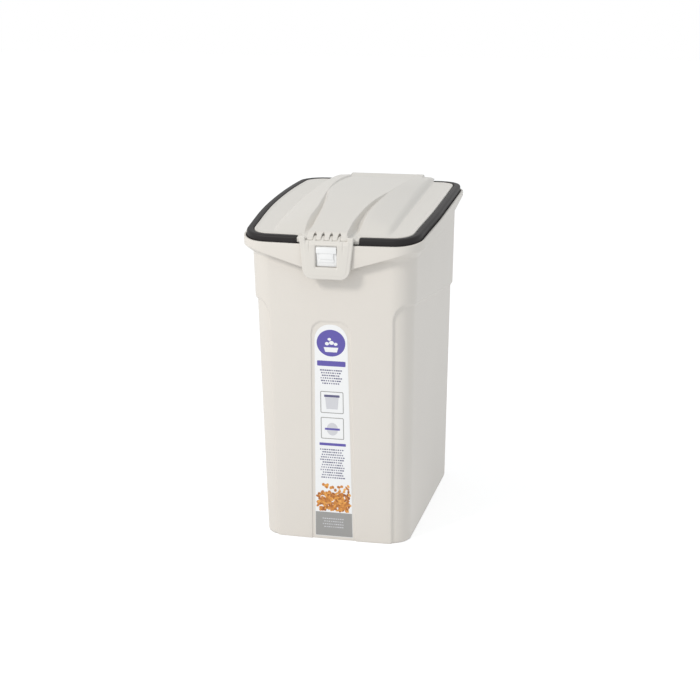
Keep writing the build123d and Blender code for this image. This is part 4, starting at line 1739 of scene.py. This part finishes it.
@dataclass(frozen=True)
class LabelSizes:
    """The printed strip, in its own plane: x across, v up along the leaning wall."""

    plane_y: float = -132.3
    lean: float = 0.0214
    film: Point = (0.01, 0.22)
    ink: Point = (0.22, 0.26)
    over: Point = (0.26, 0.28)
    foot_ink: Point = (0.22, 0.25)
    foot: float = 4.0
    head: float = 259.5
    half_foot: float = 22.25
    half_head: float = 18.65
    rounding: float = 18.0
    dash: float = 2.3
    dash_step: float = 2.6
    pellet: float = 2.1
    kibble_in: float = 2.6
    dots: tuple[tuple[float, float, float], ...] = (
        (-4.6, 237.2, 2.4), (0.6, 238.4, 2.8), (5.4, 237.0, 2.2), (-1.8, 242.4, 2.0),
    )


class Label:
    """A generic printed strip: a violet panel, fine rules, two framed signs, kibble and a grey foot."""

    def __init__(self, sizes: LabelSizes, materials: Materials) -> None:
        """Keeps the sizes and materials."""
        self.s, self.materials = sizes, materials
        self.parts: list[bpy.types.Object] = []

    def spot(self, x: float, v: float, out: float) -> tuple[float, float, float]:
        """A point of the strip in space.

        Args:
            x: Place across.
            v: Place up along the wall.
            out: Distance in front of the channel's floor.

        Returns:
            The point in millimetres.
        """
        s = self.s
        norm = math.hypot(1, s.lean)
        return x, s.plane_y - s.lean * v / norm - out / norm, v / norm - s.lean * out / norm

    def half(self, v: float) -> float:
        """Half-width of the strip at the place v."""
        s = self.s
        return s.half_foot + (s.half_head - s.half_foot) * (v - s.foot) / (s.head - s.foot)

    def shape(
        self, name: str, outline: Sequence[Point], ink: str, layer: Point, hole: Sequence[Point] = ()
    ) -> None:
        """A thin flat shape on the strip, or a frame if it has a hole.

        Args:
            name: Name of the piece.
            outline: Its corners (x, v) in order.
            ink: Its material.
            layer: Where its back and its face lie, in front of the channel's floor.
            hole: As many corners of its inside, or none.
        """
        low, high = layer
        lines = [(outline, low), (outline, high)]
        if hole:
            lines += [(hole, high), (hole, low)]
        skin = Skin(name)
        rings = [np.array([self.spot(x, v, out) for x, v in line]) for line, out in lines]
        skin.rings(rings, closed=bool(hole))
        self.parts.append(skin.make(self.materials.get(ink), 30))

    @staticmethod
    def rounded(x: float, v: float, half: float, tall: float, radius: float) -> list[Point]:
        """Corners of a rounded rectangle.

        Args:
            x: Its middle across.
            v: Its middle up the strip.
            half: Half its width.
            tall: Half its height.
            radius: Radius of its corners.

        Returns:
            The corners.
        """
        points = []
        cx, cv = half - radius, tall - radius
        for right, up, start in ((cx, cv, 0), (-cx, cv, 90), (-cx, -cv, 180), (cx, -cv, 270)):
            points += round_profile(x + right, v + up, radius, start, start + 90, 6)
        return points

    @staticmethod
    def oval(x: float, v: float, half: float, tall: float, steps: int = 40) -> list[Point]:
        """Points of an oval.

        Args:
            x: Its middle across.
            v: Its middle up the strip.
            half: Half its width.
            tall: Half its height.
            steps: How many points.

        Returns:
            The points.
        """
        angles = np.linspace(0, 2 * math.pi, steps, endpoint=False)
        return [(x + half * math.cos(a), v + tall * math.sin(a)) for a in angles]

    def band(self, low: float, high: float, inward: float) -> list[Point]:
        """Corners of a band right across the strip.

        Args:
            low: Where it starts.
            high: Where it stops.
            inward: How far it stays off the strip's edges.

        Returns:
            The corners, round from the lower left.
        """
        a, b = self.half(low) - inward, self.half(high) - inward
        return [(-a, low), (a, low), (b, high), (-b, high)]

    def _film(self) -> None:
        """The white film with its round head."""
        s, r = self.s, self.s.rounding
        side, top = self.half(s.head - r) - r, s.head - r
        points = [(-self.half(s.foot), s.foot), (self.half(s.foot), s.foot)]
        points += round_profile(side, top, r, 0, 90, 13) + round_profile(-side, top, r, 90, 180, 13)
        self.shape("label_film", points, "label_film", s.film)

    @staticmethod
    def _tree(
        name: str, inputs: Sequence[str], kinds: Nodes, wires: Wires, ink: bpy.types.Material
    ) -> bpy.types.NodeTree:
        """A geometry node tree that puts copies of a thing on points.

        Args:
            name: Its name.
            inputs: Its inputs of type float; the mesh and a seed are added.
            kinds: Its own nodes, as wire takes them.
            wires: Its own links, which end in the node "spread".
            ink: Material of the copies.

        Returns:
            The tree.
        """
        sockets = {"Geometry": GEOMETRY} | {label: FLOAT for label in inputs} | {"Seed": WHOLE}
        ends = {
            "spread": ("GeometryNodeInstanceOnPoints", {}),
            "real": ("GeometryNodeRealizeInstances", {}),
            "paint": ("GeometryNodeSetMaterial", {"Material": ink}),
        }
        last = [
            ("spread.Instances", "real.Geometry"),
            ("real.Geometry", "paint.Geometry"),
            ("paint.Geometry", "result.Geometry"),
        ]
        return node_group(name, sockets, "Geometry", kinds | ends, list(wires) + last)

    def _grow(
        self, name: str, start: Sequence[Point], tree: bpy.types.NodeTree, values: dict[str, float]
    ) -> None:
        """A piece whose mesh is what a geometry node tree makes of a few points.

        Args:
            name: Name of the piece.
            start: The points (x, v) that it starts from; four are the corners of a face.
            tree: The geometry node tree.
            values: Its inputs by name.
        """
        mesh = bpy.data.meshes.new(name)
        points = [tuple(np.array(self.spot(x, v, self.s.ink[1])) * MM) for x, v in start]
        mesh.from_pydata(points, [], [(0, 1, 2, 3)] if len(points) == 4 else [])
        piece = linked(name, mesh)
        modifier = piece.modifiers.new("grow", "NODES")
        modifier.node_group = tree
        for item in tree.interface.items_tree:
            if item.in_out == "INPUT" and item.name in values:
                modifier[item.identifier] = values[item.name]
        bpy.context.view_layer.update()
        seen = piece.evaluated_get(bpy.context.evaluated_depsgraph_get())
        grown = bpy.data.meshes.new_from_object(seen)
        piece.modifiers.remove(modifier)
        piece.data = grown
        self.parts.append(piece)

    def _rules(self, name: str, lines: Sequence[Point], height: float, ink: str, seed: int) -> None:
        """Rows of short dashes that stand for fine print, made with geometry nodes.

        Args:
            name: Name of the piece.
            lines: Each row's place v and half-length.
            height: Height of the dashes in millimetres.
            ink: Its material.
            seed: Seed for the dashes' lengths.
        """
        upright = (math.radians(90) + math.atan(self.s.lean), 0, 0)
        kinds = {
            "points": ("GeometryNodeMeshToPoints", {}),
            "dash": ("GeometryNodeMeshCube", {}),
            "size": ("ShaderNodeCombineXYZ", {"Z": 0.00004}),
            "scale": ("FunctionNodeRandomValue", {".data_type": "FLOAT", 2: 0.45, 3: 1.0}),
            "stretch": ("ShaderNodeCombineXYZ", {"Y": 1.0, "Z": 1.0}),
            "turn": ("FunctionNodeEulerToRotation", {0: upright}),
        }
        wires = [
            ("given.Geometry", "points.Mesh"),
            ("given.Dash", "size.X"),
            ("given.Height", "size.Y"),
            ("size.0", "dash.Size"),
            ("given.Seed", "scale.Seed"),
            ("scale.1", "stretch.X"),
            ("points.Points", "spread.Points"),
            ("dash.Mesh", "spread.Instance"),
            ("turn.0", "spread.Rotation"),
            ("stretch.0", "spread.Scale"),
        ]
        tree = self._tree(name + "_nodes", ("Dash", "Height"), kinds, wires, self.materials.get(ink))
        step = self.s.dash_step
        start = [(step * (i + 0.5) - half, v) for v, half in lines for i in range(int(2 * half / step))]
        values = {"Dash": self.s.dash * MM, "Height": height * MM, "Seed": seed}
        self._grow(name, start, tree, values)

    def _kibble(self, low: float, high: float, count: float) -> None:
        """Printed pellets scattered over a band of the strip, made with geometry nodes.

        Args:
            low: Where the band starts.
            high: Where it stops.
            count: Pellets for each square metre.
        """
        kind, vector, thin = "FunctionNodeRandomValue", {".data_type": "FLOAT_VECTOR"}, 0.00003
        kinds = {
            "scatter": ("GeometryNodeDistributePointsOnFaces", {}),
            "pellet": ("GeometryNodeMeshCylinder", {"Vertices": 10, "Depth": thin}),
            "spin": (kind, vector | {0: (0, 0, -math.pi), 1: (0, 0, math.pi)}),
            "turn": ("FunctionNodeRotateRotation", {".rotation_space": "LOCAL"}),
            "local": ("FunctionNodeEulerToRotation", {}),
            "size": (kind, vector | {0: (0.75, 0.55, 1.0), 1: (1.25, 0.85, 1.0)}),
            "tone": (kind, {".data_type": "FLOAT"}),
            "store": (
                "GeometryNodeStoreNamedAttribute",
                {".data_type": "FLOAT", ".domain": "POINT", "Name": "tone"},
            ),
            "lift": ("GeometryNodeSetPosition", {}),
            "height": (kind, vector | {0: (0, -thin, 0), 1: (0, 0, 0)}),
        }
        wires = [
            ("given.Geometry", "scatter.Mesh"),
            ("given.Density", "scatter.Density"),
            ("given.Radius", "pellet.Radius"),
            ("given.Seed", "scatter.Seed", "spin.Seed", "size.Seed", "tone.Seed", "height.Seed"),
            ("scatter.Rotation", "turn.0"),
            ("spin.0", "local.0"),
            ("local.0", "turn.1"),
            ("scatter.Points", "store.Geometry"),
            ("tone.1", "store.Value"),
            ("store.Geometry", "lift.Geometry"),
            ("height.0", "lift.Offset"),
            ("lift.Geometry", "spread.Points"),
            ("pellet.Mesh", "spread.Instance"),
            ("turn.0", "spread.Rotation"),
            ("size.0", "spread.Scale"),
        ]
        tree = self._tree("kibble_nodes", ("Density", "Radius"), kinds, wires, self.materials.kibble())
        values = {"Density": count, "Radius": self.s.pellet * MM, "Seed": 11}
        self._grow("label_kibble", self.band(low, high, self.s.kibble_in), tree, values)

    def build(self) -> None:
        """Makes the film and all that is printed on it."""
        s, shape, rules, oval, rounded = self.s, self.shape, self._rules, self.oval, self.rounded
        violet, dark, grey, pale, white = "ink_violet", "ink_dark", "ink_grey", "ink_pale", "ink_white"
        self._film()
        shape("label_panel", oval(0.0, 238.0, 16.6, 15.6), violet, s.ink)
        shape("label_bowl", [(-8.5, 233.0), (8.5, 233.0), (6.6, 227.5), (-6.6, 227.5)], white, s.over)
        for i, (x, v, r) in enumerate(s.dots):
            shape(f"label_dot_{i}", oval(x, v, r, r * 0.8, 18), white, s.over)
        shape("label_bar", rounded(0, 214.0, 16.5, 3.1, 1.2), violet, s.ink)
        rules("label_rules_top", [(206.0 - 3.1 * i, 13.5 - i % 3) for i in range(6)], 1.5, dark, 3)
        for i, v in enumerate((168.0, 137.0)):
            hole = rounded(0, v, 12.6, 12.1, 1.0)
            shape(f"label_frame_{i}", rounded(0, v, 13.5, 13.0, 1.6), grey, s.ink, hole)
        shape("label_tin", [(-6.5, 160.0), (6.5, 160.0), (8.0, 174.0), (-8.0, 174.0)], pale, s.ink)
        shape("label_tin_lid", rounded(0, 175.6, 9.0, 1.4, 0.6), dark, s.ink)
        shape("label_drop", oval(0, 136.0, 6.6, 7.6), pale, s.ink)
        shape("label_drop_band", rounded(0, 136.0, 8.8, 1.2, 0.6), violet, s.over)
        shape("label_bar_low", rounded(0, 117.5, 15.5, 1.6, 0.7), violet, s.ink)
        rules("label_rules_low", [(111.0 - 3.1 * i, 15.5 - i * 7 % 4) for i in range(12)], 1.4, dark, 8)
        shape("label_foot", self.band(4.6, 34.0, 0.3), grey, s.foot_ink)
        self._kibble(36.5, 58.0, 260000.0)
        self._kibble(58.0, 68.0, 60000.0)
        rules("label_rules_foot", [(26.0 - 3.4 * i, 14.0 - i % 2 * 2) for i in range(4)], 1.1, pale, 5)
        for number, part in enumerate(self.parts):
            place(part, Body.TUB, "label_film", *(() if number else ("label",)))


# Stage and camera


@dataclass(frozen=True)
class View:
    """The photograph's camera: place, target, roll and lens."""

    place: tuple[float, float, float] = (0.42505, -1.78539, 0.70321)
    target: tuple[float, float, float] = (-0.0118, 0.0, 0.1919)
    roll: float = -0.0079
    lens: float = 81.13


# The rays that see the white background: the camera's, mirrored and passing ones
RAY_NODES: Nodes = {
    "path": ("ShaderNodeLightPath", {}),
    "mirrored": ("ShaderNodeMath", {".operation": "MAXIMUM"}),
    "seen": ("ShaderNodeMath", {".operation": "MAXIMUM"}),
}
RAY_WIRES = [
    ("path.Is Camera Ray", "mirrored.0"),
    ("path.Is Glossy Ray", "mirrored.1"),
    ("mirrored.0", "seen.0"),
    ("path.Is Transmission Ray", "seen.1"),
    ("seen.0", "pick.Fac"),
]


@dataclass(frozen=True)
class Lamp:
    """The one soft square lamp, from the front left and above."""

    place: tuple[float, float, float] = (-1.2, -1.8, 1.75)
    target: tuple[float, float, float] = (0.0, 0.0, 0.2)
    size: float = 0.5
    power: float = 24.0
    colour: tuple[float, float, float] = (1.0, 0.965, 0.915)


class Studio:
    """Floor, world, lamp and camera."""

    def build(self) -> None:
        """Makes the whole stage."""
        self._floor()
        self._world()
        self._light(Lamp())
        self._camera(View())

    def _floor(self) -> None:
        """A wide pale floor that keeps the object's shadow."""
        mesh = bpy.data.meshes.new("floor")
        mesh.from_pydata([(-6, -6, 0), (6, -6, 0), (6, 6, 0), (-6, 6, 0)], [], [(0, 1, 2, 3)])
        material = bpy.data.materials.new("floor_paper")
        material.use_nodes = True
        material.node_tree.nodes.clear()
        kinds = {
            "paper": ("ShaderNodeBsdfDiffuse", {"Color": (0.92, 0.92, 0.92, 1)}),
            "shown": ("ShaderNodeBsdfDiffuse", {"Color": (0.45, 0.45, 0.45, 1)}),
            "glow": ("ShaderNodeEmission", {"Strength": 0.70}),
            "both": ("ShaderNodeAddShader", {}),
            "pick": ("ShaderNodeMixShader", {}),
            "out": ("ShaderNodeOutputMaterial", {}),
        }
        wires = [
            ("shown.0", "both.0"),
            ("glow.0", "both.1"),
            ("paper.0", "pick.1"),
            ("both.0", "pick.2"),
            ("pick.0", "out.Surface"),
        ]
        wire(material.node_tree, kinds | RAY_NODES, wires + RAY_WIRES)
        mesh.materials.append(material)
        linked("floor", mesh)

    def _world(self) -> None:
        """Even light from all round, seen as white by the camera."""
        world = bpy.data.worlds.new("studio")
        bpy.context.scene.world = world
        world.use_nodes = True
        world.node_tree.nodes.clear()
        kinds = {
            "light": ("ShaderNodeBackground", {"Color": (0.945, 0.98, 1.0, 1), "Strength": 0.75}),
            "white": ("ShaderNodeBackground", {"Color": (1, 1, 1, 1)}),
            "pick": ("ShaderNodeMixShader", {}),
            "out": ("ShaderNodeOutputWorld", {}),
        }
        wires = [("light.0", "pick.1"), ("white.0", "pick.2"), ("pick.0", "out.Surface")]
        wire(world.node_tree, kinds | RAY_NODES, wires + RAY_WIRES)

    def _light(self, lamp: Lamp) -> None:
        """Adds the lamp.

        Args:
            lamp: Its place, target, size, power and colour.
        """
        data = bpy.data.lights.new("key", "AREA")
        data.size, data.energy, data.color = lamp.size, lamp.power, lamp.colour
        piece = linked("key", data)
        piece.location = lamp.place
        aim = Vector(lamp.target) - Vector(lamp.place)
        piece.rotation_euler = aim.to_track_quat("-Z", "Y").to_euler()

    def _camera(self, view: View) -> None:
        """The camera at the photograph's angle.

        Args:
            view: Its place, target, roll and lens.
        """
        data = bpy.data.cameras.new("camera")
        data.lens = view.lens
        data.sensor_width = 36.0
        camera = linked("camera", data)
        where, target = Vector(view.place), Vector(view.target)
        ahead = (target - where).normalized()
        right = ahead.cross(Vector((0, 0, 1))).normalized()
        up = right.cross(ahead)
        c, s = math.cos(view.roll), math.sin(view.roll)
        right, up = right * c + up * s, up * c - right * s
        turn = Matrix((right, up, -ahead)).transposed()
        camera.matrix_world = Matrix.Translation(where) @ turn.to_4x4()
        bpy.context.scene.camera = camera


def paint_nodes(frame: dict, materials: Materials) -> None:
    """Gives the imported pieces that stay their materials.

    Args:
        materials: Where the materials come from.
    """
    slots = {row["node"]: row["material_slot"] for row in frame["record"]["subparts"]}
    for name, node in frame["nodes"].items():
        node.data.materials.clear()
        node.data.materials.append(materials.get(slots[name]))
        LOG.info("%s keeps its packed shape unless a piece replaces it", name)


def main() -> None:
    """Builds every piece in order, then the stage."""
    logging.basicConfig(level=logging.INFO, format="%(name)s: %(message)s")
    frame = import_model()
    bpy.context.scene.view_settings.view_transform = "Standard"
    materials = Materials()
    paint_nodes(frame, materials)
    for part in (Tub(), Seal(), Lid(), Latch(), Catch()):
        part.build(materials)
    Label(LabelSizes(), materials).build()
    Studio().build()


if __name__ == "__main__":
    main()
